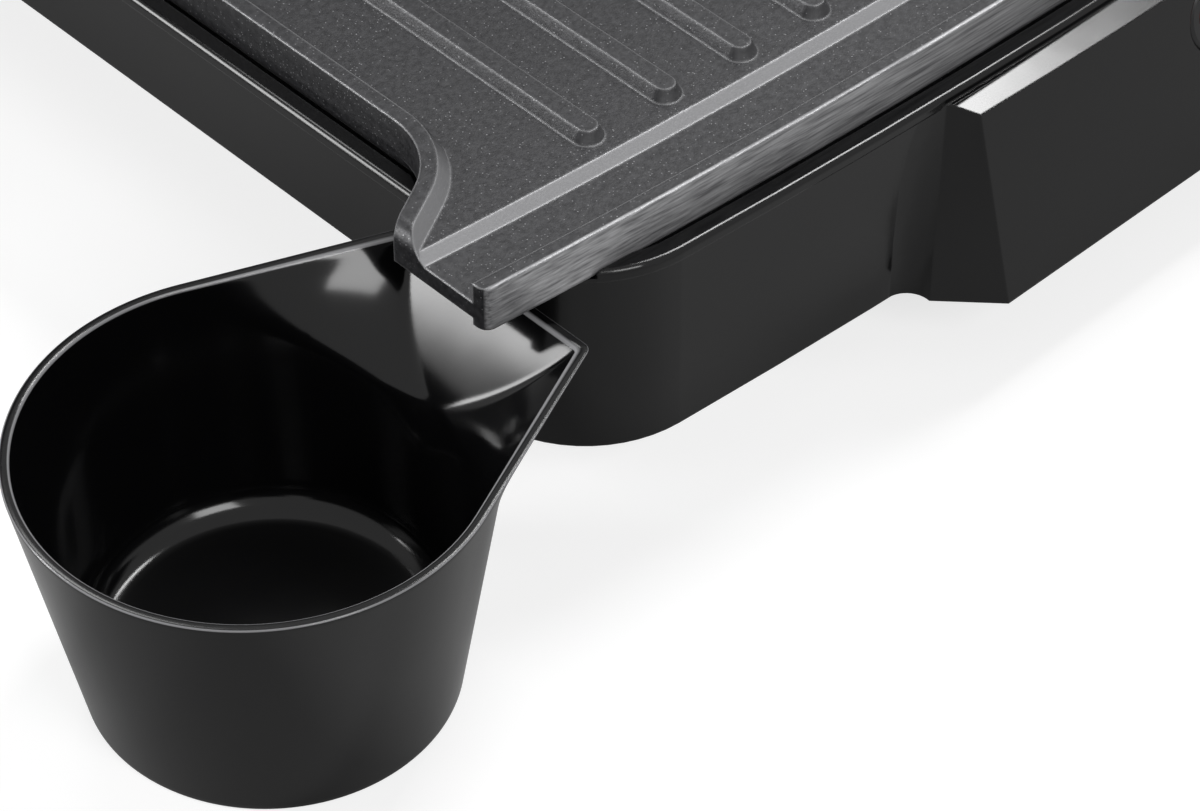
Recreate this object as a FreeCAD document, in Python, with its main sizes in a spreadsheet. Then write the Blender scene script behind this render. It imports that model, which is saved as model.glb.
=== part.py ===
# A contact grill with its lid open: ribbed lower plate with a side spout, drip cup under the spout,
# low casing with a wedge-shaped front block, and a lid carried on two arms.
# Millimetres. X runs along the front, Y to the back, Z up, and the grill stands on Z = 0.
import FreeCAD, Part
import math
import os
import re

import Sketcher
from FreeCAD import Placement, Rotation, Vector

doc = FreeCAD.newDocument("ContactGrill")

# Driving sizes
CASING = {
    "casing_width": 296.0,
    "casing_depth": 280.0,
    "bow_radius": 1530.0,
    "rim_height": 57.2,
    "skirt_bottom": 16.4,
    "casing_wall": 2.6,
    "front_corner": 26.0,
    "rear_corner": 24.0,
    "rim_round": 1.0,
    "lip_tall": 2.4,
    "lip_step": 0.4,
    "arch_height": 36.2,
    "arch_setback": 52.0,
    "arch_splay": 9.0,
    "pocket_depth": 24.0,
    "shelf_thick": 2.5,
    "shelf_width": 9.5,
    "boss_radius": 4.0,
    "screw_radius": 1.5,
    "fit_gap": 0.6,
}
BLOCK = {
    "block_half_width": 61.0,
    "block_top_drop": 1.8,
    "block_top_reach": 3.8,
    "block_foot_reach": 13.6,
    "block_foot_rise": 0.1,
    "ledge_fall": 0.8,
    "block_side_top": 3.0,
    "block_side_foot": 9.6,
    "block_root": 75.5,
    "block_step_foot": 5.2,
    "block_step_top": 0.6,
    "dial_across": 28.0,
    "dial_drop": 21.0,
    "dial_radius": 15.0,
    "dial_tall": 11.0,
    "dial_recess": 1.2,
    "shaft_radius": 3.0,
    "can_radius": 10.8,
    "lamp_drop": 12.0,
    "lamp_radius": 6.7,
    "bezel_radius": 8.5,
}
PLATE = {
    "plate_inset": 5.2,
    "plate_depth": 233.0,
    "plate_top": 65.2,
    "plate_floor": 62.5,
    "plate_under": 58.5,
    "plate_skirt": 51.0,
    "plate_wall": 3.0,
    "plate_corner": 16.0,
    "plate_gap": 1.6,
    "trough_width": 17.0,
    "trough_depth": 1.5,
    "trough_slope": 2.3,
    "rib_pitch": 17.13,
    "rib_pairs": 7,
    "rib_crest": 3.8,
    "rib_base": 6.2,
    "rib_rise": 2.4,
    "rib_setback": 2.6,
    "rib_rear": 10.0,
    "spout_reach": 13.0,
    "spout_bend": 17.2,
    "spout_turn": 62.0,
    "spout_bend_back": 56.0,
    "spout_lean": 2.1,
    "spout_under": 57.6,
    "lip_drop": 1.1,
    "lip_gap": 0.5,
    "spout_round": 2.2,
    "spout_drop": 3.4,
}
HEATER = {
    "element_radius": 3.3,
    "element_half_width": 108.0,
    "element_front": 42.0,
    "element_rear": 212.0,
    "element_bend": 20.0,
    "element_open": 34.0,
    "tray_sheet": 0.8,
    "tray_floor": 44.0,
    "clamp_spread": 8.5,
    "clamp_sheet": 1.2,
    "clamp_screw": 1.4,
    "pin_radius": 1.8,
}
CUP = {
    "cup_offset": 55.6,
    "cup_back": 22.7,
    "cup_rim_radius": 41.0,
    "cup_foot_radius": 32.0,
    "cup_height": 53.2,
    "cup_wall": 1.8,
    "cup_floor": 7.2,
    "cup_recess": 5.2,
    "cup_foot_shift": 1.0,
    "mouth_half_width": 22.0,
    "mouth_gap": 0.5,
    "chute_depth": 27.0,
}
LID = {
    "open_angle": 105.0,
    "hinge_back": 264.0,
    "hinge_height": 80.0,
    "hinge_radius": 4.0,
    "tower_radius": 13.0,
    "tower_inner": 121.0,
    "tower_outer": 146.0,
    "tower_screw_step": 4.5,
    "tower_screw_bore": 12.0,
    "washer_thick": 2.4,
    "arm_thick": 9.0,
    "arm_tall": 15.0,
    "arm_disc": 15.0,
    "arm_round": 1.5,
    "handle_front": 34.0,
    "handle_height": 84.0,
    "handle_tall": 11.0,
    "handle_thick": 9.0,
    "rod_radius": 4.0,
    "lid_inset": 2.0,
    "lid_pivot_back": 126.0,
    "lid_pivot_height": 75.0,
    "lid_bottom": 68.0,
    "lid_seam": 88.0,
    "lid_top": 108.0,
    "lid_rear": 243.0,
    "lid_wall": 2.6,
    "lid_shoulder": 13.0,
    "upper_tip": 66.3,
    "upper_inset": 8.0,
    "upper_thick": 4.0,
    "upper_skirt": 7.0,
    "upper_tray": 84.0,
    "panel_sheet": 0.8,
    "panel_margin": 26.0,
    "turning_gap": 0.05,
    "lock_travel": 6.0,
    "lock_width": 3.6,
    "lock_play": 1.3,
    "lock_notch": 5.0,
}
BOTTOM = {
    "cover_floor": 18.4,
    "cover_sheet": 2.4,
    "foot_height": 4.0,
    "foot_radius": 8.0,
    "leg_radius": 9.5,
    "leg_across": 104.0,
    "leg_front": 42.0,
    "leg_rear": 236.0,
    "slot_pitch": 12.0,
    "gland_across": 90.0,
    "gland_height": 32.0,
    "cord_bore": 3.6,
}

sheet = doc.addObject("Spreadsheet::Sheet", "Sizes")
aliases = {}
for table in (CASING, BLOCK, PLATE, HEATER, CUP, LID, BOTTOM):
    for alias, value in table.items():
        line = len(aliases) + 1
        sheet.set(f"A{line}", alias)
        sheet.set(f"B{line}", str(value))
        sheet.setAlias(f"B{line}", alias)
        aliases[alias] = line
doc.recompute()


class Values:
    """The sheet's cells, read by alias."""

    def __getattr__(self, alias):
        return float(sheet.get(alias))


v = Values()


def expression(text):
    """A sum of aliases, with each alias pointed at the sheet."""
    return re.sub(r"[a-z][a-z_]+", lambda m: "Sizes." + m[0] if m[0] in aliases else m[0], str(text))


def bind(thing, **texts):
    for prop, text in texts.items():
        thing.setExpression(prop.replace("__", "."), expression(text))


def value_of(text):
    """The number that a sum of aliases gives now."""
    names = {alias: float(sheet.get(alias)) for alias in re.findall(r"[a-z][a-z_]+", str(text))}
    total = str(text)
    for alias in sorted(names, key=len, reverse=True):
        total = re.sub(rf"\b{alias}\b", f"({names[alias]})", total)
    return FreeCAD.Units.Quantity(total).Value


TURNS = {
    "z": Rotation(),
    "x": Rotation(Vector(0, 1, 0), 90),
    "y": Rotation(Vector(1, 0, 0), -90),
}


# Plain blocks, rods and their sums
def box(name, lengths, corner):
    """A block from its three lengths and its lowest corner."""
    block = doc.addObject("Part::Box", name)
    bind(block, Length=lengths[0], Width=lengths[1], Height=lengths[2])
    bind(block, Placement__Base__x=corner[0], Placement__Base__y=corner[1], Placement__Base__z=corner[2])
    return block


def rod(name, radius, length, start, along="z"):
    """A round bar from the centre of its first end, along one axis."""
    bar = doc.addObject("Part::Cylinder", name)
    bar.Placement = Placement(Vector(), TURNS[along])
    bind(bar, Radius=radius, Height=length)
    bind(bar, Placement__Base__x=start[0], Placement__Base__y=start[1], Placement__Base__z=start[2])
    return bar


def taper(name, first, last, length, start, along="z"):
    """A cone from the centre of its first end, along one axis."""
    cone = doc.addObject("Part::Cone", name)
    cone.Placement = Placement(Vector(), TURNS[along])
    bind(cone, Radius1=first, Radius2=last, Height=length)
    bind(cone, Placement__Base__x=start[0], Placement__Base__y=start[1], Placement__Base__z=start[2])
    return cone


def fuse(name, pieces):
    joined = doc.addObject("Part::MultiFuse", name)
    joined.Shapes = pieces
    return joined


def cut(name, base, tools):
    less = doc.addObject("Part::Cut", name)
    less.Base = base
    less.Tool = tools[0] if len(tools) == 1 else fuse(name + "_tools", tools)
    return less


def group(name, pieces):
    """Separate solids that share one node."""
    together = doc.addObject("Part::Compound", name)
    together.Links = pieces
    return together


def shaped(name, shape):
    """A free shape, for forms that blocks and sketches don't give."""
    thing = doc.addObject("Part::Feature", name)
    thing.Shape = shape
    return thing


# Sketched bodies
def closed_sketch(body, role, corners):
    """A polygon on one of the body's planes, each corner tied to the sheet."""
    sketch = body.newObject("Sketcher::SketchObject", body.Name + "_outline")
    plane = [part for part in body.Origin.OriginFeatures if part.Role == role][0]
    sketch.AttachmentSupport = [(plane, "")]
    sketch.MapMode = "FlatFace"
    spots = [Vector(value_of(x), value_of(y), 0) for x, y in corners]
    count = len(spots)
    for i in range(count):
        sketch.addGeometry(Part.LineSegment(spots[i], spots[(i + 1) % count]), False)
    for i in range(count):
        sketch.addConstraint(Sketcher.Constraint("Coincident", i, 2, (i + 1) % count, 1))
    for i, corner in enumerate(corners):
        for kind, text, number in (("DistanceX", corner[0], spots[i].x), ("DistanceY", corner[1], spots[i].y)):
            index = sketch.addConstraint(Sketcher.Constraint(kind, -1, 1, i, 1, number))
            sketch.setExpression(f"Constraints[{index}]", expression(text))
    return sketch


def turned(name, corners):
    """A body of revolution about Z from corners given as radius and height."""
    body = doc.addObject("PartDesign::Body", name)
    sketch = closed_sketch(body, "XZ_Plane", corners)
    spin = body.newObject("PartDesign::Revolution", name + "_turned")
    spin.Profile = sketch
    spin.ReferenceAxis = (sketch, ["V_Axis"])
    spin.Angle = 360
    doc.recompute()
    return body


def padded(name, role, corners, length):
    """A flat body: a polygon on a plane, padded to both sides of it."""
    body = doc.addObject("PartDesign::Body", name)
    sketch = closed_sketch(body, role, corners)
    pad = body.newObject("PartDesign::Pad", name + "_pad")
    pad.Profile = sketch
    pad.Midplane = True
    bind(pad, Length=length)
    doc.recompute()
    return body


def copies(name, source, spots):
    """The source's solid again at each spot, all in one node."""
    doc.recompute()
    made = []
    for spot in spots:
        solid = source.Shape.copy()
        solid.Placement = spot.multiply(solid.Placement)
        made.append(solid)
    return shaped(name, Part.makeCompound(made))


# Bowed outlines
def bow(x, inset):
    """The front line's Y at X, moved in from the casing's rim by the inset."""
    radius = v.bow_radius - inset
    return v.bow_radius - math.sqrt(radius**2 - x**2)


def bowed_arc(x0, x1, inset, z):
    middle = (x0 + x1) / 2
    spots = [Vector(x, bow(x, inset), z) for x in (x0, middle, x1)]
    return Part.Arc(*spots).toShape()


def line(a, b):
    return Part.LineSegment(a, b).toShape()


def prism(half, front, rear, z0, z1, round_front=0.0, round_rear=0.0):
    """An upright block with the bowed front, from half its width and its insets, corners rounded."""
    left = Vector(-half, bow(half, front), z0)
    right = Vector(half, bow(half, front), z0)
    far_right = Vector(half, rear, z0)
    far_left = Vector(-half, rear, z0)
    edges = [
        bowed_arc(-half, half, front, z0),
        line(right, far_right),
        line(far_right, far_left),
        line(far_left, left),
    ]
    solid = Part.Face(Part.Wire(edges)).extrude(Vector(0, 0, z1 - z0))
    for radius, at_y in ((round_front, left.y), (round_rear, rear)):
        upright = [e for e in solid.Edges if is_upright(e, at_y)]
        if radius > 0:
            solid = solid.makeFillet(radius, upright)
    return solid


def is_upright(edge, y):
    a, b = edge.Vertexes[0].Point, edge.Vertexes[-1].Point
    return abs(a.x - b.x) < 1e-6 and abs(a.y - b.y) < 1e-6 and abs(a.y - y) < 1e-6 and abs(a.z - b.z) > 1e-6


def edges_at(solid, z):
    """The edges that lie flat at a height."""
    return [e for e in solid.Edges if abs(e.BoundBox.ZMin - z) < 1e-5 and abs(e.BoundBox.ZMax - z) < 1e-5]


def block_at(x0, x1, y0, y1, z0, z1):
    return Part.makeBox(x1 - x0, y1 - y0, z1 - z0, Vector(x0, y0, z0))


half_casing = v.casing_width / 2
plate_half = half_casing - v.plate_inset
plate_rear = v.plate_inset + v.plate_depth
rim_under = v.rim_height - v.casing_wall
shelf_top = v.plate_skirt
cover_top = v.cover_floor + v.cover_sheet
boss_spots = [
    (side * (half_casing - 13.0), y) for side in (-1, 1) for y in (34.0, v.casing_depth - 30.0)
] + [(side * 40.0, v.casing_depth - 12.0) for side in (-1, 1)]
post_spots = [(side * 92.0, y) for side in (-1, 1) for y in (62.0, 196.0)]


# Spout, shared by the plate and by the casing's notch under it
def spout_wire(front_inset, back_offset, end, z):
    """The spout in plan: a bowed front, an open end, and a back line that bends out of the side wall."""
    bend = v.spout_bend - back_offset
    turn = math.radians(v.spout_turn)
    centre = Vector(-plate_half - v.spout_bend, v.spout_bend_back, z)
    root = -plate_half + v.front_corner + 4.0

    def on_bend(angle):
        return centre + Vector(math.cos(angle), -math.sin(angle), 0) * bend

    left = on_bend(turn)
    run = (left.x - end) / math.sin(turn)
    back = left + Vector(-math.sin(turn), -math.cos(turn), 0) * run
    front_left = Vector(end, bow(end, front_inset), z)
    front_right = Vector(root, bow(root, front_inset), z)
    rear_right = Vector(root, v.spout_bend_back, z)
    edges = [
        bowed_arc(end, root, front_inset, z),
        line(front_right, rear_right),
        line(rear_right, on_bend(0)),
        Part.Arc(on_bend(0), on_bend(turn / 2), left).toShape(),
        line(left, back),
        line(back, front_left),
    ]
    return Part.Wire(edges)


def spout_prism(grow, z0, z1):
    """An upright block over the spout's plan, grown all round."""
    end = -half_casing - v.spout_reach - grow
    face = Part.Face(spout_wire(v.plate_inset - grow, grow, end, z0))
    return face.extrude(Vector(0, 0, z1 - z0))


# Front block
block_foot = v.skirt_bottom + v.block_foot_rise
block_top = v.rim_height - v.block_top_drop


def block_section(z, wall):
    """The block's plan at a height, drawn in by the wall: it curves out of the casing, then a facet, then the face."""
    t = (block_top - z) / (block_top - block_foot)
    reach = v.block_top_reach + t * (v.block_foot_reach - v.block_top_reach) - wall
    step = v.block_step_top + t * (v.block_step_foot - v.block_step_top)
    side = v.block_side_top + t * (v.block_side_foot - v.block_side_top)
    front_half = v.block_half_width - wall
    root = Vector(v.block_root - wall, bow(v.block_root, 0.0) + 0.4 + wall, z)
    corner = Vector(front_half + side, root.y - step - 0.4, z)
    rise, run = root.y - corner.y, root.x - corner.x
    radius = (rise**2 + run**2) / (2 * rise)
    half_turn = math.atan2(run, radius - rise) / 2
    swell = Vector(root.x - radius * math.sin(half_turn), root.y - radius * (1 - math.cos(half_turn)), z)
    back = Vector(root.x, 12.0, z)
    front = Vector(front_half, -reach, z)
    middle = Vector(0, -reach - max(1 - t, 0.001) * bow(front_half, 0.0), z)
    mirror = [Vector(-p.x, p.y, p.z) for p in (back, root, swell, corner, front)]
    edges = [
        line(mirror[0], mirror[1]),
        Part.Arc(mirror[1], mirror[2], mirror[3]).toShape(),
        line(mirror[3], mirror[4]),
        Part.Arc(mirror[4], middle, front).toShape(),
        line(front, corner),
        Part.Arc(corner, swell, root).toShape(),
        line(root, back),
        line(back, mirror[0]),
    ]
    return Part.Wire(edges)


def block_solid(z0, z1, wall):
    return Part.makeLoft([block_section(z0, wall), block_section(z1, wall)], True, True)


face_lean = math.degrees(math.atan2(v.block_foot_reach - v.block_top_reach, block_top - block_foot))


def face_place(across, drop):
    """A place on the block's sloping face: local Z points out of it."""
    height = v.rim_height - drop
    t = (block_top - height) / (block_top - block_foot)
    reach = v.block_top_reach + t * (v.block_foot_reach - v.block_top_reach)
    return Placement(Vector(across, -reach, height), Rotation(Vector(1, 0, 0), 90 - face_lean))


dial_place = face_place(v.dial_across, v.dial_drop)
lamp_place = face_place(0.0, v.lamp_drop)


def drilled(place, radius, depth, rise=6.0):
    """A round tool square to the block's face, from its depth to above the face."""
    tool = Part.makeCylinder(radius, depth + rise, Vector(0, 0, -depth))
    tool.Placement = place
    return tool


# Casing
def base_shell():
    """Moulded casing: skirt, rim, rear deck, wedge block, shelf for the plate."""
    half, depth = half_casing, v.casing_depth
    lip = v.rim_height - v.lip_tall
    band = prism(half, 0, depth, lip, v.rim_height, v.front_corner, v.rear_corner)
    band = band.makeFillet(v.rim_round, edges_at(band, v.rim_height))
    step = v.lip_step
    skirt = prism(
        half - step, step, depth - step, v.skirt_bottom, lip, v.front_corner - step, v.rear_corner - step
    )
    wall = v.casing_wall + step
    inside = prism(
        half - wall, wall, depth - wall, v.skirt_bottom - 1, rim_under, v.front_corner - wall, v.rear_corner - wall
    )
    shell = skirt.fuse([band, block_solid(block_foot, block_top, 0.0)])
    hollow = block_solid(block_foot + v.casing_wall, block_top - v.casing_wall, v.casing_wall)
    gap = v.plate_gap
    opening = plate_form(-gap, rim_under - 1, v.rim_height + 1)
    seat = v.rim_height - v.lip_drop - v.lip_gap
    corner = plate_form(-v.lip_gap, seat, v.rim_height + 1, True)
    notch = spout_prism(v.lip_gap, seat, v.rim_height + 1)
    for tool in (inside, hollow, opening, corner, notch):
        shell = shell.cut(tool)
    shell = shell.fuse([shelf_ring()] + screw_bosses()).removeSplitter()
    screw_holes = [
        Part.makeCylinder(v.screw_radius + v.fit_gap, v.tower_screw_bore, spot, Vector(0, 0, 1)) for spot in tower_spots()
    ]
    return shell.cut(side_arches() + face_holes() + screw_holes + [gland_hole(), ledge_slope()])


def ledge_slope():
    """A wedge over the block's top, which falls towards the face so that fat runs off it."""
    half = v.block_root + 2.0
    back, front = -0.2, -v.block_top_reach - 4.0
    fall = v.ledge_fall * (back - front) / (back + v.block_top_reach)
    top = block_top + 4.0
    side = [Vector(-half, back, block_top), Vector(-half, front, block_top - fall), Vector(-half, front, top),
            Vector(-half, back, top)]
    return Part.Face(Part.makePolygon(side + side[:1])).extrude(Vector(2 * half, 0, 0))


def shelf_ring():
    """The shelf along the walls that the plate's skirt stands on."""
    wall = v.casing_wall
    low, high = shelf_top - v.shelf_thick, shelf_top
    rear = plate_rear + v.plate_inset
    outer = prism(half_casing - wall, wall, rear, low, high, v.front_corner - wall, v.plate_corner)
    inner = prism(half_casing - v.shelf_width, v.shelf_width, rear - v.shelf_width, low - 1, high + 1)
    ring = outer.cut(inner)
    bridge = block_at(-half_casing + wall, half_casing - wall, rear - v.shelf_width, rear, low, rim_under + 0.5)
    keep = block_at(-half_casing, half_casing, rear - 2.0, rear, low, rim_under + 0.5)
    return ring.fuse(bridge.common(keep))


def screw_bosses():
    """Round posts that take the screws of the bottom cover."""
    posts = []
    for x, y in boss_spots:
        top = shelf_top - v.shelf_thick + 0.5 if y < plate_rear - 20 else rim_under + 0.5
        post = Part.makeCylinder(v.boss_radius, top - cover_top, Vector(x, y, cover_top))
        bore = Part.makeCylinder(v.screw_radius, 12.0, Vector(x, y, cover_top))
        posts.append(post.cut(bore))
    return posts


def side_arches():
    """The raised lower edge of each side, splayed at both ends."""
    front, rear = v.arch_setback, v.casing_depth - v.arch_setback
    splay = v.arch_splay
    bottom = v.skirt_bottom - 1
    corners = [
        Vector(0, front - splay, bottom), Vector(0, front, v.arch_height),
        Vector(0, rear, v.arch_height), Vector(0, rear + splay, bottom),
    ]
    profile = Part.makePolygon(corners + corners[:1])
    width = v.casing_wall + v.lip_step + 2.0
    arch = Part.Face(profile).extrude(Vector(width, 0, 0))
    upright = [e for e in arch.Edges if abs(e.BoundBox.ZMin - v.arch_height) < 1e-6 and e.BoundBox.YLength < 1e-6]
    arch = arch.makeFillet(6.0, upright)
    tools = []
    for x in (-half_casing - 1.0, half_casing + 1.0 - width):
        tool = arch.copy()
        tool.translate(Vector(x, 0, 0))
        tools.append(tool)
    return tools


def face_holes():
    """The dial's recess and shaft hole, and the lamp's hole, square to the block's face."""
    return [
        drilled(dial_place, v.dial_radius + v.fit_gap, v.dial_recess),
        drilled(dial_place, v.shaft_radius + 2.0, v.casing_wall + 4.0),
        drilled(lamp_place, v.bezel_radius, 1.0),
        drilled(lamp_place, v.lamp_radius, v.casing_wall + 4.0),
    ]


def tower_spots():
    """Where the screws of the hinge towers come up through the deck, on its underside."""
    middle = (v.tower_inner + v.tower_outer) / 2
    return [
        Vector(side * middle + step, v.hinge_back, rim_under)
        for side in (-1, 1) for step in (-v.tower_screw_step, v.tower_screw_step)
    ]


def hinge_towers():
    """Two towers on the rear deck that carry the lid's arms, screwed on from below."""
    towers = []
    length = v.tower_outer - v.tower_inner
    for x in (-v.tower_outer, v.tower_inner):
        low = v.rim_height
        radius = v.tower_radius
        post = block_at(x, x + length, v.hinge_back - radius, v.hinge_back + radius, low, v.hinge_height)
        head = Part.makeCylinder(radius, length, Vector(x, v.hinge_back, v.hinge_height), Vector(1, 0, 0))
        towers.append(post.fuse(head).removeSplitter())
    pilots = [Part.makeCylinder(v.screw_radius, v.tower_screw_bore, spot, Vector(0, 0, 1)) for spot in tower_spots()]
    return Part.Compound([tower.cut(tower_cuts() + pilots) for tower in towers])


def tower_cuts():
    """The hinge bores, and on the right tower the two notches that the lid's lock drops into."""
    radius = v.hinge_radius + v.turning_gap
    length = v.tower_outer - v.tower_inner
    tools = []
    for x in (-v.tower_outer, v.tower_inner):
        centre = Vector(x - 1, v.hinge_back, v.hinge_height)
        tools.append(Part.makeCylinder(radius, length + 2, centre, Vector(1, 0, 0)))
    wide = v.lock_width / 2 + v.lock_play
    deep = v.tower_radius - v.lock_travel - v.fit_gap
    for angle in (0.0, v.open_angle):
        inner = v.tower_outer - v.lock_notch
        notch = block_at(inner, v.tower_outer + 1, -v.tower_radius - 3, -deep, -wide, wide)
        notch.Placement = Placement(
            Vector(0, v.hinge_back, v.hinge_height), Rotation(Vector(1, 0, 0), -angle)
        )
        tools.append(notch)
    return tools


def gland_hole():
    y = v.casing_depth + 1
    return Part.makeCylinder(v.cord_bore + 2.4, 8.0, Vector(v.gland_across, y, v.gland_height), Vector(0, -1, 0))


# Lower plate
def rib(x, front, rear, base_z, rise):
    """One rib with a flat crest, sloping flanks and rounded sloping ends; a negative rise hangs down."""
    foot, crest = v.rib_base / 2, v.rib_crest / 2
    section = [
        Vector(x - foot, front, base_z), Vector(x + foot, front, base_z),
        Vector(x + crest, front, base_z + rise), Vector(x - crest, front, base_z + rise),
    ]
    bar = Part.Face(Part.makePolygon(section + section[:1])).extrude(Vector(0, rear - front, 0))
    up = Vector(0, 0, math.copysign(1, rise))
    ends = [Part.makeCone(foot, crest, abs(rise), Vector(x, y, base_z), up) for y in (front, rear)]
    return bar.fuse(ends)


def ribs(front_inset, rear, base_z, rise):
    """The row of ribs: fifteen of them, their front ends following the bow."""
    row = []
    foot = v.rib_base / 2
    pairs = int(v.rib_pairs)
    for i in range(-pairs, pairs + 1):
        x = i * v.rib_pitch
        front = bow(x, front_inset) + foot
        row.append(rib(x, front, rear - foot, base_z, rise))
    return row


step_inset = v.plate_inset + v.trough_width
trough_floor = v.plate_floor - v.trough_depth
clamp_spots = [(side * v.element_half_width, y) for side in (-1, 1) for y in (88.0, 170.0)]


def plate_form(inset, z0, z1, square_left=False):
    """An upright block over the plate's plan, drawn in all round; its left front corner is square under the spout."""
    half, front = plate_half - inset, v.plate_inset + inset
    block = prism(half, front, plate_rear - inset, z0, z1, 0.0, v.plate_corner - inset)
    corners = [e for e in block.Edges if is_upright(e, bow(half, front))]
    if square_left:
        corners = [e for e in corners if e.Vertexes[0].Point.x > 0]
    return block.makeFillet(v.front_corner - v.plate_inset - inset, corners)


def lower_plate():
    """Die-cast plate: ribbed floor, trough along the front, walls, and the spout at the front left corner."""
    wall = v.plate_wall
    edge = v.rim_height - v.lip_drop
    body = plate_form(0, edge, v.plate_top, True)
    skirt = plate_form(1, v.plate_skirt, edge)
    under = plate_form(wall, v.plate_skirt - 1, v.plate_under)
    lip = spout_end(edge).common(slab_before(v.plate_inset + wall))
    body = body.fuse([skirt, spout_end(v.spout_under), lip]).cut(under)
    basin = plate_form(wall, v.plate_floor, v.plate_top + 1, True)
    trough = plate_form(wall, trough_floor, v.plate_top + 1, True)
    channel = spout_channel()
    above_floor = block_at(-2 * half_casing, 0, 0, v.casing_depth, v.plate_floor, v.plate_top + 2)
    slope = trough_slope()
    body = body.cut([basin, trough.common(slope), channel.common(slope), channel.common(above_floor)])
    rib_end = plate_rear - wall - v.rib_rear
    body = body.fuse(ribs(step_inset + v.rib_setback, rib_end, v.plate_floor, v.rib_rise))
    return body.cut(spout_back_end()).fuse(clamp_posts(v.plate_under, -1))


def slab_before(inset):
    """All that lies in front of the bowed line at this inset."""
    half = half_casing + 40.0
    edges = [
        bowed_arc(-half, half, inset, 0.0),
        line(Vector(half, bow(half, inset), 0), Vector(half, -40, 0)),
        line(Vector(half, -40, 0), Vector(-half, -40, 0)),
        line(Vector(-half, -40, 0), Vector(-half, bow(half, inset), 0)),
    ]
    return Part.Face(Part.Wire(edges)).extrude(Vector(0, 0, 200))


def trough_slope():
    """All that lies in front of the step, whose face leans forward as it goes down."""
    half = half_casing + 40.0
    sections = []
    for inset, z in ((step_inset, v.plate_floor), (step_inset - v.trough_slope, trough_floor)):
        edge = bowed_arc(-half, half, inset, z)
        a, b = edge.Vertexes[0].Point, edge.Vertexes[-1].Point
        front = [Vector(b.x, -40, z), Vector(a.x, -40, z)]
        sections.append(Part.Wire([edge, line(b, front[0]), line(front[0], front[1]), line(front[1], a)]))
    slope = Part.makeLoft(sections, True, True)
    above = slab_before(step_inset)
    above.translate(Vector(0, 0, v.plate_floor))
    return slope.fuse(above)


def spout_end(low):
    """The spout's block with its two end corners rounded, from a height up to the plate's top."""
    block = spout_prism(0.0, low, v.plate_top)
    end = -half_casing - v.spout_reach
    front = [e for e in block.Edges if is_upright(e, bow(end, v.plate_inset))]
    return block.makeFillet(v.spout_round, front)


def spout_channel():
    """The spout's hollow: open at its end, its back face leaning outwards."""
    wall = v.plate_wall
    end = -half_casing - v.spout_reach - 4.0
    front = v.plate_inset + wall
    lean_rate = v.spout_lean / (v.plate_top - v.plate_floor)
    sections = []
    for z in (trough_floor, v.plate_top + 1):
        sections.append(spout_wire(front, -wall - lean_rate * (v.plate_top - z), end, z))
    return Part.makeLoft(sections, True, True)


def spout_back_end():
    """A tool that rounds off the end of the spout's back wall, seen from the front."""
    end = -half_casing - v.spout_reach
    drop = v.spout_drop
    y0, y1 = v.plate_inset + v.trough_width + 4.0, v.spout_bend_back
    corner = block_at(end - 1, end + drop, y0, y1, v.plate_top - drop, v.plate_top + 1)
    start = Vector(end + drop, y0 - 1, v.plate_top - drop)
    return corner.cut(Part.makeCylinder(drop, y1 - y0 + 2, start, Vector(0, 1, 0)))


def clamp_posts(z, way):
    """Short posts either side of the element, cast on the plate's back, that take the clamps."""
    tall = 2 * v.element_radius + 0.2
    posts = []
    for x, y in clamp_spots:
        for side in (-1, 1):
            spot = Vector(x + side * v.clamp_spread, y, z)
            post = Part.makeCylinder(3.4, tall, spot, Vector(0, 0, way))
            bore = Part.makeCylinder(v.clamp_screw, tall, spot, Vector(0, 0, way))
            posts.append(post.cut(bore))
    return posts


# Heating elements, their clamps and trays
def element(z, terminal_way):
    """A tubular element bent round the plate's edge, with a terminal pin at each end."""
    half, front, rear, bend = v.element_half_width, v.element_front, v.element_rear, v.element_bend
    gap = v.element_open
    corners = [Vector(-half, rear, z), Vector(-half, front, z), Vector(half, front, z), Vector(half, rear, z)]
    path = [Vector(-gap, rear, z)]
    edges = []
    last = Vector(gap, rear, z)
    for i, corner in enumerate(corners):
        before = corners[i - 1] if i else path[0]
        after = corners[i + 1] if i < 3 else last
        into = (before - corner).normalize()
        out = (after - corner).normalize()
        start = corner + into * bend
        stop = corner + out * bend
        centre = corner + into * bend + out * bend
        middle = centre + (corner - centre).normalize() * bend
        edges += [line(path[-1], start), Part.Arc(start, middle, stop).toShape()]
        path.append(stop)
    edges.append(line(path[-1], last))
    wire = Part.Wire(edges)
    ring = Part.Wire(Part.Circle(path[0], Vector(1, 0, 0), v.element_radius).toShape())
    tube = Part.Wire(wire.Edges).makePipeShell([ring], True, False)
    pins = []
    for x in (-gap, gap):
        step = math.copysign(4.0, -x)
        pins.append(Part.makeCylinder(v.pin_radius, 4.0, Vector(x, rear, z), Vector(step, 0, 0)))
        start = Vector(x + step, rear, z)
        pins.append(Part.makeSphere(v.pin_radius, start))
        pins.append(Part.makeCylinder(v.pin_radius, 16.0, start, Vector(0, 0, terminal_way)))
    return tube.fuse(pins)


def clamps(z):
    """Flat straps across the element, each screwed to its two posts."""
    straps = []
    wide = v.clamp_spread * 2 + 8.0
    for x, y in clamp_spots:
        strap = block_at(x - wide / 2, x + wide / 2, y - 5, y + 5, z, z + v.clamp_sheet)
        holes = [
            Part.makeCylinder(v.clamp_screw + 0.1, v.clamp_sheet, Vector(x + side * v.clamp_spread, y, z))
            for side in (-1, 1)
        ]
        straps.append(strap.cut(holes))
    return Part.makeCompound(straps)


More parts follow.
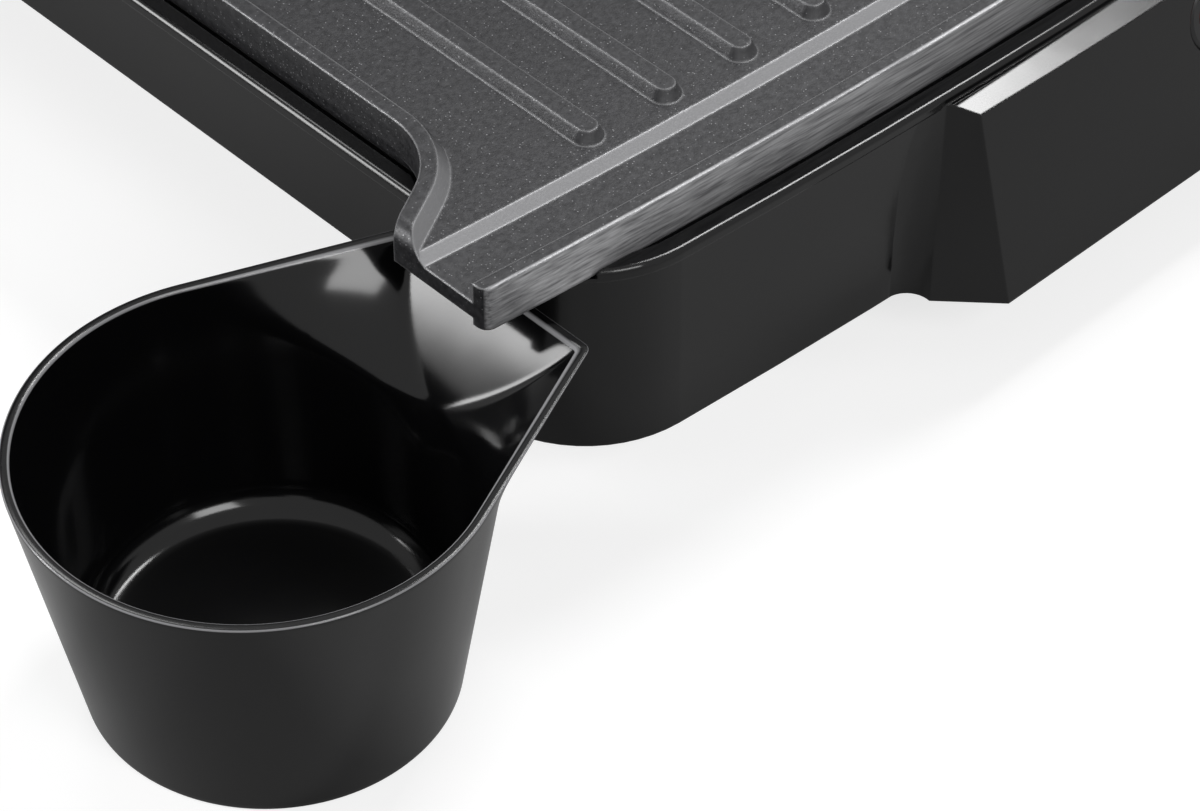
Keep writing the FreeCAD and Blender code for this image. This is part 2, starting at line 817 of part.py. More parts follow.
def tray(floor, wall_top, sheet_way, screws=()):
    """A pressed steel heat shield: a shallow tray round the element, with holes for terminals and screws."""
    half, front, rear = v.element_half_width + 17.0, 27.0, 227.0
    low, high = min(floor, wall_top), max(floor, wall_top)
    outer = block_at(-half, half, front, rear, low, high)
    upright = [e for e in outer.Edges if e.BoundBox.ZLength > 1]
    outer = outer.makeFillet(12.0, upright)
    thick = v.tray_sheet
    inner = block_at(-half + thick, half - thick, front + thick, rear - thick, low, high)
    upright = [e for e in inner.Edges if e.BoundBox.ZLength > 1]
    inner = inner.makeFillet(12.0 - thick, upright)
    inner.translate(Vector(0, 0, thick * sheet_way))
    holes = []
    for x in (-v.element_open, v.element_open):
        centre = Vector(x - math.copysign(4.0, x), v.element_rear, low - 2)
        holes.append(Part.makeCylinder(v.pin_radius + 1.6, high - low + 4, centre))
    holes += [Part.makeCylinder(v.screw_radius + 0.3, high - low + 4, Vector(x, y, low - 2)) for x, y in screws]
    return outer.cut([inner] + holes)


lower_element_z = v.plate_under - v.element_radius
lower_clamp_z = v.plate_under - 2 * v.element_radius - 0.2 - v.clamp_sheet
upper_floor = v.upper_tip + v.rib_rise
upper_back = upper_floor + v.upper_thick
upper_element_z = upper_back + v.element_radius
upper_clamp_z = upper_back + 2 * v.element_radius + 0.2


# Drip cup
cup_x = -half_casing - v.cup_offset


def teardrop(z, radius, reach, half_width, shift):
    """The cup in plan: a circle with two tangents to a straight mouth on the casing's side."""
    centre = Vector(cup_x + shift, v.cup_back, z)
    corner_angle = math.atan2(half_width, reach)
    distance = math.hypot(reach, half_width)
    touch = corner_angle + math.acos(radius / distance)
    low = centre + Vector(math.cos(touch), -math.sin(touch), 0) * radius
    high = centre + Vector(math.cos(touch), math.sin(touch), 0) * radius
    far = centre - Vector(radius, 0, 0)
    mouth_low = centre + Vector(reach, -half_width, 0)
    mouth_high = centre + Vector(reach, half_width, 0)
    edges = [
        Part.Arc(high, far, low).toShape(), line(low, mouth_low),
        line(mouth_low, mouth_high), line(mouth_high, high),
    ]
    return Part.Wire(edges)


def cup_form(wall, bottom, top):
    """The cup's form drawn in by the wall: a tapered bowl whose mouth side runs up into a shallow chute."""
    full_reach = v.cup_offset - v.mouth_gap
    levels = [top, v.cup_height - 5, v.cup_height - 11, v.cup_height - 18, v.cup_height - v.chute_depth, bottom]
    sections = []
    for z in levels:
        depth = v.cup_height - z
        down = depth / v.cup_height
        radius = v.cup_rim_radius + (v.cup_foot_radius - v.cup_rim_radius) * down
        left = max(0.0, 1 - depth / v.chute_depth)
        reach = radius + 0.5 + (full_reach - v.cup_rim_radius - 0.5) * left**2
        half_width = 5.0 + (v.mouth_half_width - 5.0) * left**0.8
        shift = v.cup_foot_shift * down
        sections.append(teardrop(z, radius - wall, reach - wall, half_width - 0.6 * wall, shift))
    return Part.makeLoft(sections, True, True)


def drip_cup():
    """Moulded cup: thin wall, flat rim, raised floor over a foot ring."""
    outer = cup_form(0.0, 0.0, v.cup_height)
    inner = cup_form(v.cup_wall, v.cup_floor, v.cup_height + 0.01)
    recess = Part.makeCylinder(
        v.cup_foot_radius - 3.0, v.cup_recess, Vector(cup_x + v.cup_foot_shift, v.cup_back, 0)
    )
    return outer.cut([inner, recess])


# Bottom cover
def bottom_cover():
    """Moulded cover: flat floor between the legs, and a raised flange over each side's grip arch."""
    gap = v.casing_wall + v.lip_step + v.fit_gap
    half, rear = half_casing - gap, v.casing_depth - gap
    corner_front, corner_rear = v.front_corner - gap, v.rear_corner - gap
    floor = prism(half, gap, rear, v.cover_floor, cover_top, corner_front, corner_rear)
    start, stop = v.arch_setback - v.arch_splay - 4.0, v.casing_depth - v.arch_setback + v.arch_splay + 4.0
    inner = half - v.pocket_depth
    sheet_thick = v.cover_sheet
    high = v.arch_height + sheet_thick
    solid = floor
    for side in (-1, 1):
        x0, x1 = sorted((side * inner, side * half))
        pocket = block_at(x0, x1, start, stop, v.cover_floor, high)
        a, b = sorted((side * (inner + sheet_thick), side * (half + 5)))
        hollow = block_at(a, b, start + sheet_thick, stop - sheet_thick, 0, v.arch_height)
        solid = solid.fuse(pocket).cut(hollow)
    legs, bores = [], []
    for x, y in leg_spots:
        legs.append(Part.makeCylinder(v.leg_radius, cover_top - v.foot_height, Vector(x, y, v.foot_height)))
        bores.append(Part.makeCylinder(2.5, 6.0, Vector(x, y, v.foot_height)))
    posts = [
        Part.makeCylinder(4.0, v.tray_floor - v.cover_floor, Vector(x, y, v.cover_floor)) for x, y in post_spots
    ]
    for x, y in boss_spots:
        bores.append(Part.makeCylinder(v.screw_radius + 0.3, 20.0, Vector(x, y, v.cover_floor - 1)))
        bores.append(Part.makeCylinder(3.6, 1.4, Vector(x, y, v.cover_floor - 0.1)))
    return solid.fuse(legs + posts).cut(bores + vent_slots()).removeSplitter()


leg_spots = [(side * v.leg_across, y) for side in (-1, 1) for y in (v.leg_front, v.leg_rear)]


def vent_slots():
    """Two rows of cooling slots in the floor."""
    slots = []
    for row_y in (90.0, 160.0):
        for i in range(-4, 5):
            x = i * v.slot_pitch
            slots.append(block_at(x - 1.6, x + 1.6, row_y, row_y + 34.0, v.cover_floor - 1, cover_top + 1))
    return slots


# Lid, drawn closed and then turned open
def upper_plate():
    """Die-cast upper plate: ribs down, a skirt up round its back, and four posts for the screws."""
    half = half_casing - v.upper_inset
    front, rear = v.upper_inset, plate_rear - v.upper_inset + v.plate_inset
    corner, wall = v.plate_corner - 2, v.plate_wall
    top = upper_back + v.upper_skirt
    body = prism(half, front, rear, upper_floor, top, corner, corner)
    hollow = prism(half - wall, front + wall, rear - wall, upper_back, top + 1, corner - wall, corner - wall)
    body = body.cut(hollow)
    body = body.fuse(ribs(step_inset + v.rib_setback, rear - wall - v.rib_rear, upper_floor, -v.rib_rise))
    posts = [Part.makeCylinder(4.5, v.upper_tray - upper_back, Vector(x, y, upper_back)) for x, y in post_spots]
    body = body.fuse(posts + clamp_posts(upper_back, 1)).removeSplitter()
    bores = [Part.makeCylinder(v.screw_radius, 9.0, Vector(x, y, v.upper_tray - 9.0)) for x, y in post_spots]
    return body.cut(bores)


lid_half = half_casing - v.lid_inset


def lid_frame():
    """Black frame round the upper plate, with a boss each side for the pivot."""
    wall, inset = v.lid_wall, v.lid_inset
    body = prism(lid_half, inset, v.lid_rear, v.lid_bottom, v.lid_seam, v.front_corner, v.rear_corner)
    hollow = prism(
        lid_half - wall, inset + wall, v.lid_rear - wall, v.lid_bottom + wall, v.lid_seam + 1,
        v.front_corner - wall, v.rear_corner - wall,
    )
    gap = v.fit_gap + 0.2
    upper_rear = plate_rear - v.upper_inset + v.plate_inset
    corner = v.plate_corner - 2 + gap
    window = prism(
        half_casing - v.upper_inset + gap, v.upper_inset - gap, upper_rear + gap, v.lid_bottom - 1, v.lid_seam,
        corner, corner,
    )
    body = body.cut([hollow, window])
    bosses, bores = [], []
    for side in (-1, 1):
        inner = side * (half_casing - v.upper_inset + gap + 0.4)
        start = Vector(inner, v.lid_pivot_back, v.lid_pivot_height)
        length = abs(side * lid_half - inner)
        bosses.append(Part.makeCylinder(6.6, length, start, Vector(side, 0, 0)))
        bores.append(Part.makeCylinder(v.hinge_radius + v.turning_gap, length + 2, start, Vector(side, 0, 0)))
    body = body.fuse(bosses)
    trim = block_at(-half_casing, half_casing, 0, 300, v.lid_bottom - 10, v.lid_bottom)
    return body.cut(bores + [trim]).removeSplitter()


def lid_shell():
    """Outer lid moulding with a rounded shoulder, a recess for the steel panel, and posts for the screws."""
    wall, inset, shoulder = v.lid_wall, v.lid_inset, v.lid_shoulder
    outer = prism(lid_half, inset, v.lid_rear, v.lid_seam, v.lid_top, v.front_corner, v.rear_corner)
    outer = outer.makeFillet(shoulder, edges_at(outer, v.lid_top))
    inner = prism(
        lid_half - wall, inset + wall, v.lid_rear - wall, v.lid_seam - 1, v.lid_top - wall,
        v.front_corner - wall, v.rear_corner - wall,
    )
    inner = inner.makeFillet(shoulder - wall, edges_at(inner, v.lid_top - wall))
    low = v.upper_tray + v.tray_sheet
    posts = [Part.makeCylinder(4.5, v.lid_top - wall / 2 - low, Vector(x, y, low)) for x, y in post_spots]
    body = outer.cut(inner).fuse(posts)
    tools = [panel_form(0.3, v.lid_top - v.panel_sheet, v.lid_top + 1)]
    for x, y in post_spots:
        tools.append(Part.makeCylinder(v.screw_radius + 0.2, 40.0, Vector(x, y, low - 1)))
        tools.append(Part.makeCylinder(3.8, 10.0, Vector(x, y, v.lid_top - v.panel_sheet - 3.0)))
    return body.cut(tools)


def panel_form(grow, z0, z1):
    margin = v.panel_margin - grow
    half = lid_half - margin
    front, rear = v.lid_inset + margin, v.lid_rear - margin
    return prism(half, front, rear, z0, z1, 10.0 + grow, 10.0 + grow)


def arm(side):
    """One moulded arm: a disc on the hinge, a long bar, a boss at the lid's pivot, an eye for the handle."""
    x0 = v.tower_outer + v.washer_thick if side > 0 else -v.tower_outer - v.washer_thick - v.arm_thick
    thick = v.arm_thick
    tall = v.arm_tall / 2

    def disc(radius, y, z):
        return Part.makeCylinder(radius, thick, Vector(x0, y, z), Vector(1, 0, 0))

    def bar(y0, z0, y1, z1, near, far):
        """A bar tangent to a disc at each end, from their centres and radii."""
        way = Vector(0, y1 - y0, z1 - z0)
        length = way.Length
        way.normalize()
        across = Vector(0, -way.z, way.y)
        lean = math.asin((near - far) / length)
        a = Vector(x0, y0, z0) + (across * math.cos(lean) + way * math.sin(lean)) * near
        b = Vector(x0, y1, z1) + (across * math.cos(lean) + way * math.sin(lean)) * far
        c = Vector(x0, y1, z1) + (across * -math.cos(lean) + way * math.sin(lean)) * far
        d = Vector(x0, y0, z0) + (across * -math.cos(lean) + way * math.sin(lean)) * near
        return Part.Face(Part.makePolygon([a, b, c, d, a])).extrude(Vector(thick, 0, 0))

    hinge_y, hinge_z = v.hinge_back, v.hinge_height
    knee_y, knee_z = v.lid_pivot_back, v.lid_pivot_height + 4.0
    grip_y, grip_z = -v.handle_front, v.handle_height
    body = disc(v.arm_disc, hinge_y, hinge_z).fuse([
        bar(hinge_y, hinge_z, knee_y, knee_z, v.arm_disc - 4.0, tall + 2.0),
        disc(tall + 2.0, knee_y, knee_z),
        bar(knee_y, knee_z, grip_y, grip_z, tall + 2.0, v.handle_tall),
        disc(v.handle_tall, grip_y, grip_z),
    ]).removeSplitter()
    tools = [
        Part.makeCylinder(v.hinge_radius, thick + 2, Vector(x0 - 1, hinge_y, hinge_z), Vector(1, 0, 0)),
        Part.makeCylinder(v.hinge_radius, thick + 2, Vector(x0 - 1, knee_y, v.lid_pivot_height), Vector(1, 0, 0)),
        Part.makeCylinder(v.rod_radius, thick + 2, Vector(x0 - 1, grip_y, grip_z), Vector(1, 0, 0)),
    ]
    if side > 0:
        wide = v.lock_width / 2 + 0.2
        near, far = v.tower_radius + 0.5 - v.lock_travel, v.tower_radius + 12.7
        tools.append(block_at(x0 - 1, x0 + thick + 1, hinge_y - far, hinge_y - near, hinge_z - wide, hinge_z + wide))
    return body.cut(tools)


def lid_lock():
    """The storage lock: a ribbed thumb button outside the right arm, its tongue on the arm's inner side."""
    x0 = v.tower_outer + v.washer_thick
    outer = x0 + v.arm_thick
    y, z = v.hinge_back, v.hinge_height
    wide = v.lock_width / 2
    near, far = v.tower_radius + 0.6, v.tower_radius + 12.5
    tongue = block_at(v.tower_outer - 2.6, outer, y - far + 1, y - near, z - wide, z + wide)
    button = block_at(outer, outer + 3.2, y - far - 4, y - near - 4, z - wide - 2, z + wide + 2)
    button = button.makeFillet(1.5, [e for e in button.Edges if e.BoundBox.XLength > 3])
    grooves = [
        Part.makeCylinder(0.7, 12, Vector(outer + 3.2, y - near - 6 - 2.4 * i, z - 6)) for i in range(4)
    ]
    return tongue.fuse(button).cut(grooves).removeSplitter()


# Placing
base_pose = Placement()
open_pose = Placement(
    Vector(), Rotation(Vector(1, 0, 0), -v.open_angle), Vector(0, v.hinge_back, v.hinge_height)
)
nodes = {}


def node(name, thing, pose=base_pose):
    """Registers a finished sub-part under its name, at its place in the open grill."""
    thing.Label = name
    nodes[name] = (thing, pose.multiply(thing.Placement))


def poly_wire(points, radius):
    """An insulated wire along straight runs with tangent arcs at its corners."""
    spots = [Vector(*p) for p in points]
    edges = []
    start = spots[0]
    for before, corner, after in zip(spots, spots[1:], spots[2:]):
        into, out = before - corner, after - corner
        half_turn = (math.pi - into.getAngle(out)) / 2
        reach = 0.4 * min(into.Length, out.Length)
        into.normalize()
        out.normalize()
        first, second = corner + into * reach, corner + out * reach
        bend = reach / math.tan(half_turn)
        inward = (into + out).normalize()
        centre = corner + inward * math.hypot(reach, bend)
        middle = centre + (corner - centre).normalize() * bend
        edges += [line(start, first), Part.Arc(first, middle, second).toShape()]
        start = second
    edges.append(line(start, spots[-1]))
    ring = Part.Wire(Part.Circle(spots[0], spots[1] - spots[0], radius).toShape())
    return Part.Wire(edges).makePipeShell([ring], True, False)


# Base: mouldings, plate and cup
node("base_shell", shaped("BaseShell", base_shell()))
node("hinge_towers", shaped("HingeTowers", hinge_towers()))
node("bottom_cover", shaped("BottomCover", bottom_cover()))
node("lower_plate", shaped("LowerPlate", lower_plate()))
node("drip_cup", shaped("DripCup", drip_cup()))

# Base: heater
node("lower_element", shaped("LowerElement", element(lower_element_z, -1)))
node("lower_element_clamps", shaped("LowerClamps", clamps(lower_clamp_z)))
node("lower_heat_shield", shaped("LowerTray", tray(v.tray_floor, v.plate_under - 0.6, 1)))

clamp_screw = turned("ClampScrew", [
    ("0", "-1.6"), ("2.6", "-1.6"), ("2.6", "0"), ("clamp_screw", "0"), ("clamp_screw", "clamp_sheet + 4"),
    ("0", "clamp_sheet + 4"),
])
screw_spots = [Vector(x + side * v.clamp_spread, y, 0) for x, y in clamp_spots for side in (-1, 1)]

# Base: feet and screws
foot = turned("RubberFoot", [
    ("0", "0"), ("foot_radius - 0.8", "0"), ("foot_radius", "0.8"), ("foot_radius", "foot_height"),
    ("2.4", "foot_height"), ("2.4", "foot_height + 5"), ("0", "foot_height + 5"),
])
node("rubber_feet", copies("Feet", foot, [Placement(Vector(x, y, 0), Rotation()) for x, y in leg_spots]))

cover_screw = turned("CoverScrew", [
    ("0", "0"), ("3.2", "0"), ("3.2", "1.3"), ("screw_radius", "1.3"), ("screw_radius", "13"), ("0", "13"),
])
node("cover_screws", copies(
    "CoverScrews", cover_screw, [Placement(Vector(x, y, v.cover_floor), Rotation()) for x, y in boss_spots]
))
screw_head = Vector(0, 0, 1.3)
node("tower_screws", copies(
    "TowerScrews", cover_screw, [Placement(spot - screw_head, Rotation()) for spot in tower_spots()]
))

# Base: thermostat and lamp behind the block's face
dial = turned("DialTurned", [
    ("0", "-dial_recess + 0.3"), ("dial_radius", "-dial_recess + 0.3"), ("dial_radius", "1.6"),
    ("dial_radius - 2", "2.6"), ("dial_radius - 3", "dial_tall - 1"), ("dial_radius - 4", "dial_tall"),
    ("0", "dial_tall"),
])
grip = box("DialGrip", ("4", "2 * dial_radius - 4", "3"), ("-2", "-dial_radius + 2", "dial_tall - 0.5"))
dial_bore = rod("DialBore", "shaft_radius", "dial_tall - 3 + dial_recess", ("0", "0", "-dial_recess"))
dial_whole = cut("DialWhole", fuse("DialWithGrip", [dial, grip]), [dial_bore])
dial_whole.Placement = dial_place
node("thermostat_dial", dial_whole)

shaft = rod("ShaftRod", "shaft_radius", "dial_tall - 3 + dial_recess + 18", ("0", "0", "-dial_recess - 18"))
shaft_group = group("Shaft", [shaft])
shaft_group.Placement = dial_place
node("thermostat_shaft", shaft_group)

can = rod("ThermostatCan", "can_radius", "15", ("0", "0", "-casing_wall - 15.5"))
nose = rod("ThermostatNose", "shaft_radius + 1.6", "casing_wall + 0.5 - dial_recess", ("0", "0", "-casing_wall - 0.5"))
lugs = box("ThermostatLugs", ("34", "10", "1.5"), ("-17", "-5", "-casing_wall - 17"))
bore = rod("ThermostatBore", "shaft_radius + turning_gap", "40", ("0", "0", "-casing_wall - 18"))
thermostat = cut("Thermostat", fuse("ThermostatBody", [can, nose, lugs]), [bore])
thermostat.Placement = dial_place
node("thermostat", thermostat)

bezel = turned("LampBezel", [
    ("lamp_radius - 1.2", "-1"), ("bezel_radius - 0.1", "-1"), ("bezel_radius - 0.1", "0.3"),
    ("bezel_radius - 0.9", "0.9"), ("lamp_radius - 0.6", "0.9"), ("lamp_radius - 1.2", "0.3"),
])
bezel_group = group("Bezel", [bezel])
bezel_group.Placement = lamp_place
node("lamp_bezel", bezel_group)

lens = turned("LampLens", [
    ("0", "-4"), ("lamp_radius - 1.4", "-4"), ("lamp_radius - 1.4", "0.5"), ("lamp_radius - 2.6", "1.2"), ("0", "1.5"),
])
lens_group = group("Lens", [lens])
lens_group.Placement = lamp_place
node("lamp_lens", lens_group)

bulb = turned("LampBulb", [
    ("0", "-20"), ("2.6", "-20"), ("3", "-19"), ("3", "-6"), ("1.6", "-4"), ("0", "-4"),
])
bulb_group = group("Bulb", [bulb])
bulb_group.Placement = lamp_place
node("indicator_lamp", bulb_group)

# Base: mains inlet and wiring
gland = turned("GlandTurned", [
    ("cord_bore + fit_gap", "-11"), ("cord_bore + 2.2", "-11"), ("cord_bore + 2.2", "0"), ("cord_bore + 5", "0"),
    ("cord_bore + 5", "2"), ("cord_bore + 2.6", "4"), ("cord_bore + 2.2", "9"), ("cord_bore", "9"),
    ("cord_bore", "1"), ("cord_bore + fit_gap", "1"),
])
gland_group = group("Gland", [gland])
gland_group.Placement = Placement(
    Vector(v.gland_across, v.casing_depth - v.lip_step, v.gland_height), Rotation(Vector(1, 0, 0), -90)
)
node("cord_gland", gland_group)

block_corner = ("gland_across - 20", "casing_depth - 60", "cover_floor + cover_sheet")
terminal = box("TerminalBlock", ("40", "18", "14"), block_corner)
holes = [
    rod(f"TerminalHole{i}", "1.9", "20", (f"gland_across - 15 + {10 * i}", "casing_depth - 61", "cover_floor + 10"), "y")
    for i in range(4)
]
node("terminal_block", cut("Terminals", terminal, holes))

fuse_rest = "tray_floor + tray_sheet"
fuse_tube = rod("FuseTube", "2.4", "26", ("-13", "190", fuse_rest + " + 2.4"), "x")
fuse_tails = rod("FuseTails", "0.8", "44", ("-22", "190", fuse_rest + " + 2.4"), "x")
node("thermal_fuse", fuse("ThermalFuse", [fuse_tube, fuse_tails]))

terminal_y = v.casing_depth - 60.0
wire_z = v.cover_floor + 10.0
gx = v.gland_across
runs = [
    [(gx - 1.6, v.casing_depth - 12, v.gland_height), (gx - 1.6, v.casing_depth - 24, v.gland_height),
     (gx - 5, terminal_y + 26, wire_z), (gx - 5, terminal_y + 17, wire_z)],
    [(gx + 1.6, v.casing_depth - 12, v.gland_height), (gx + 1.6, v.casing_depth - 24, v.gland_height),
     (gx + 5, terminal_y + 26, wire_z), (gx + 5, terminal_y + 17, wire_z)],
    [(gx - 5, terminal_y + 1, wire_z), (gx - 5, terminal_y - 14, wire_z - 4), (60, 120, wire_z - 4),
     (36, 44, wire_z - 4), (36, 30, wire_z)],
]
node("mains_wires", shaped("MainsWires", Part.makeCompound([poly_wire(run, 1.3) for run in runs])))

# Arms and handle, drawn closed
node("left_arm", shaped("LeftArm", arm(-1)), open_pose)
node("right_arm", shaped("RightArm", arm(1)), open_pose)
washer = turned("PivotWasher", [
    ("hinge_radius + 0.1", "0"), ("tower_radius - lock_travel", "0"),
    ("tower_radius - lock_travel", "washer_thick"), ("hinge_radius + 0.1", "washer_thick"),
])
hinge_centres = [
    Placement(Vector(x, v.hinge_back, v.hinge_height), Rotation(Vector(0, 1, 0), 90))
    for x in (-v.tower_outer - v.washer_thick, v.tower_outer)
]
node("pivot_washers", copies("Washers", washer, hinge_centres), open_pose)

pin_long = "tower_outer - tower_inner + washer_thick + arm_thick"
pins = [
    rod("HingePinLeft", "hinge_radius", pin_long, ("-tower_outer - washer_thick - arm_thick", "hinge_back", "hinge_height"), "x"),
    rod("HingePinRight", "hinge_radius", pin_long, ("tower_inner", "hinge_back", "hinge_height"), "x"),
]
node("hinge_pins", group("HingePins", pins), open_pose)

cap = turned("ArmCap", [("0", "0"), ("11", "0"), ("11", "1.2"), ("9.6", "2.2"), ("0", "2.4")])
outside = v.tower_outer + v.washer_thick + v.arm_thick
caps = [
    Placement(Vector(side * outside, v.hinge_back, v.hinge_height), Rotation(Vector(0, 1, 0), 90 * side))
    for side in (-1, 1)
]
node("arm_caps", copies("ArmCaps", cap, caps), open_pose)

rod_start = ("-tower_outer - washer_thick - arm_thick", "-handle_front", "handle_height")
rod_long = "2 * (tower_outer + washer_thick + arm_thick)"
node("handle_rod", group("HandleRod", [rod("HandleBar", "rod_radius", rod_long, rod_start, "x")]), open_pose)


def handle_grip():
    """The moulded grip sleeve, an oval bar a little thicker in the middle, over the steel rod."""
    half = v.tower_outer + v.washer_thick
    sections = []
    for x, swell in ((-half, 0.92), (-half * 0.55, 1.0), (half * 0.55, 1.0), (half, 0.92)):
        oval = Part.Ellipse(Vector(), v.handle_tall * swell, v.handle_thick * swell).toShape()
        place = Placement(Vector(x, -v.handle_front, v.handle_height), Rotation(Vector(0, 1, 0), 90))
        oval.Placement = place
        sections.append(Part.Wire(oval))
    sleeve = Part.makeLoft(sections, True, True)
    start = Vector(-half - 1, -v.handle_front, v.handle_height)
    return sleeve.cut(Part.makeCylinder(v.rod_radius, 2 * half + 2, start, Vector(1, 0, 0)))


node("handle_grip", shaped("HandleGrip", handle_grip()), open_pose)

handle_cap = turned("HandleCap", [("0", "0"), ("8", "0"), ("8", "1"), ("6.8", "2"), ("0", "2.2")])
handle_ends = [
    Placement(Vector(side * outside, -v.handle_front, v.handle_height), Rotation(Vector(0, 1, 0), 90 * side))
    for side in (-1, 1)
]
node("handle_caps", copies("HandleCaps", handle_cap, handle_ends), open_pose)

node("lid_lock", shaped("LidLock", lid_lock()), open_pose)

pivot_inner = "casing_width / 2 - upper_inset + fit_gap + 0.7"
pivot_long = "tower_outer + washer_thick + arm_thick - casing_width / 2 + upper_inset - fit_gap - 0.7"
lid_pins = [
    rod("LidPinRight", "hinge_radius", pivot_long, (pivot_inner, "lid_pivot_back", "lid_pivot_height"), "x"),
    rod("LidPinLeft", "hinge_radius", pivot_long,
        ("-tower_outer - washer_thick - arm_thick", "lid_pivot_back", "lid_pivot_height"), "x"),
]
node("lid_pivot_pins", group("LidPins", lid_pins), open_pose)

# Lid, drawn closed
node("lid_shell", shaped("LidShell", lid_shell()), open_pose)
node("lid_panel", shaped("LidPanel", panel_form(0.0, v.lid_top - v.panel_sheet, v.lid_top)), open_pose)
node("lid_frame", shaped("LidFrame", lid_frame()), open_pose)
node("upper_plate", shaped("UpperPlate", upper_plate()), open_pose)
node("upper_element", shaped("UpperElement", element(upper_element_z, 1)), open_pose)
node("upper_element_clamps", shaped("UpperClamps", clamps(upper_clamp_z)), open_pose)
node("upper_heat_shield", shaped(
    "UpperTray", tray(v.upper_tray + v.tray_sheet, upper_back + 0.6, -1, post_spots)
), open_pose)

lid_screw = turned("LidScrew", [
    ("0", "-22"), ("screw_radius", "-22"), ("screw_radius", "0"), ("3.4", "0"), ("3.4", "1.8"), ("0", "2.2"),
])
lid_screw_places = [Placement(Vector(x, y, v.lid_top - v.panel_sheet - 3.0), Rotation()) for x, y in post_spots]
node("lid_screws", copies("LidScrews", lid_screw, lid_screw_places), open_pose)

flipped = Rotation(Vector(1, 0, 0), 180)
lower_screws = [Placement(Vector(s.x, s.y, lower_clamp_z), Rotation()) for s in screw_spots]
upper_screws = [Placement(Vector(s.x, s.y, upper_clamp_z + v.clamp_sheet), flipped) for s in screw_spots]
node("lower_clamp_screws", copies("LowerClampScrews", clamp_screw, lower_screws))
node("upper_clamp_screws", copies("UpperClampScrews", clamp_screw, upper_screws), open_pose)

doc.recompute()

# The origin goes to the middle of the whole grill's footprint
whole = FreeCAD.BoundBox()
for thing, pose in nodes.values():
    shape = thing.Shape.copy()
    shape.Placement = pose
    whole.add(shape.optimalBoundingBox(False))
shift = Placement(Vector(-whole.Center.x, -whole.Center.y, -whole.ZMin), Rotation())
for thing, pose in nodes.values():
    thing.Placement = shift.multiply(pose)
doc.recompute()

os.makedirs("parts", exist_ok=True)
for thing in doc.Objects:
    if "Invalid" in thing.State or "Error" in thing.State:
        raise RuntimeError(f"{thing.Name} didn't build: {thing.State}")
for name, (thing, pose) in nodes.items():
    shape = thing.Shape
    if shape.isNull() or not shape.isValid() or not shape.Solids:
        raise RuntimeError(f"{name} has no valid solid")
for name, (thing, pose) in nodes.items():
    thing.Shape.exportStep(f"parts/{name}.step")

print("nodes", len(nodes), "size", [round(n, 2) for n in (whole.XLength, whole.YLength, whole.ZLength)])
print("shift", [round(n, 3) for n in shift.Base])
for name, point in (
    ("arms hinge", Vector(0, v.hinge_back, v.hinge_height)),
    ("lid pivot", open_pose.multVec(Vector(0, v.lid_pivot_back, v.lid_pivot_height))),
    ("dial", dial_place.Base),
):
    print(name, [round(n, 3) for n in (point + shift.Base)])
print("dial axis", [round(n, 5) for n in dial_place.Rotation.multVec(Vector(0, 0, 1))])
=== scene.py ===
import math

import bpy
import numpy as np
from mathutils import Matrix, Vector


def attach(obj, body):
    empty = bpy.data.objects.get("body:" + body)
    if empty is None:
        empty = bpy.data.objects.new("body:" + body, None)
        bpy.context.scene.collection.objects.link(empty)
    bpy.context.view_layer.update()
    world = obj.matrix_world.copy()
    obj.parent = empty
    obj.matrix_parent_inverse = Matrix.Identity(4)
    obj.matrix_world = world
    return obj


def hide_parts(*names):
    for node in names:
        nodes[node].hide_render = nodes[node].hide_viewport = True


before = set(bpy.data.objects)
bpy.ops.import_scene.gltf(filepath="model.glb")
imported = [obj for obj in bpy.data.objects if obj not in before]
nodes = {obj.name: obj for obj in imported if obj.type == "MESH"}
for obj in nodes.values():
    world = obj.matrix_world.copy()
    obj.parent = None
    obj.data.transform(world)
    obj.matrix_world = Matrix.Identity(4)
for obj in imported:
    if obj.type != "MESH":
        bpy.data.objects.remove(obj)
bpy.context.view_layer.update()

# The casing is one injection moulding in black ABS from a polished tool, so it mirrors the room.
# Its skirt and lip follow a slightly bowed front, and a wedge-shaped block stands out of the middle.
# Long flow ripples and a breath of haze are all that breaks the mirror.
MM = 0.001


def linear(shade):
    """An sRGB hex shade as linear red, green and blue with full alpha: the sRGB curve, undone."""
    parts = np.array([int(shade[i:i + 2], 16) for i in (1, 3, 5)]) / 255
    curve = np.where(parts <= 0.04045, parts / 12.92, ((parts + 0.055) / 1.055) ** 2.4)
    return (*[float(part) for part in curve], 1.0)


def add(tree, kind, sockets, **settings):
    """A node with its settings; a socket's entry is linked if it is an output, and set if it is a value."""
    made = tree.nodes.new("ShaderNode" + kind)
    for name, value in settings.items():
        setattr(made, name, value)
    for name, value in sockets.items():
        if isinstance(value, bpy.types.NodeSocket):
            tree.links.new(value, made.inputs[name])
        else:
            made.inputs[name].default_value = value
    return made


def start_material(name, shade, rough, metallic=0.0):
    """A new material: its node tree, its Principled shader, and Object coordinates in metres."""
    material = bpy.data.materials.new(name)
    material.use_nodes = True
    tree = material.node_tree
    surface = tree.nodes["Principled BSDF"]
    surface.inputs["Base Color"].default_value = linear(shade)
    surface.inputs["Roughness"].default_value = rough
    surface.inputs["Metallic"].default_value = metallic
    place = add(tree, "TexCoord", {}).outputs["Object"]
    return material, tree, surface, place


def grain(tree, place, size_mm, detail=2.0, stretch=(1, 1, 1)):
    """Soft noise whose lumps are about size_mm across, drawn out along an axis where stretch is small."""
    spread = add(tree, "Mapping", {"Vector": place, "Scale": stretch})
    scale = 1.0 / (size_mm * MM)
    return add(tree, "TexNoise", {"Vector": spread.outputs[0], "Scale": scale, "Detail": detail}).outputs[0]


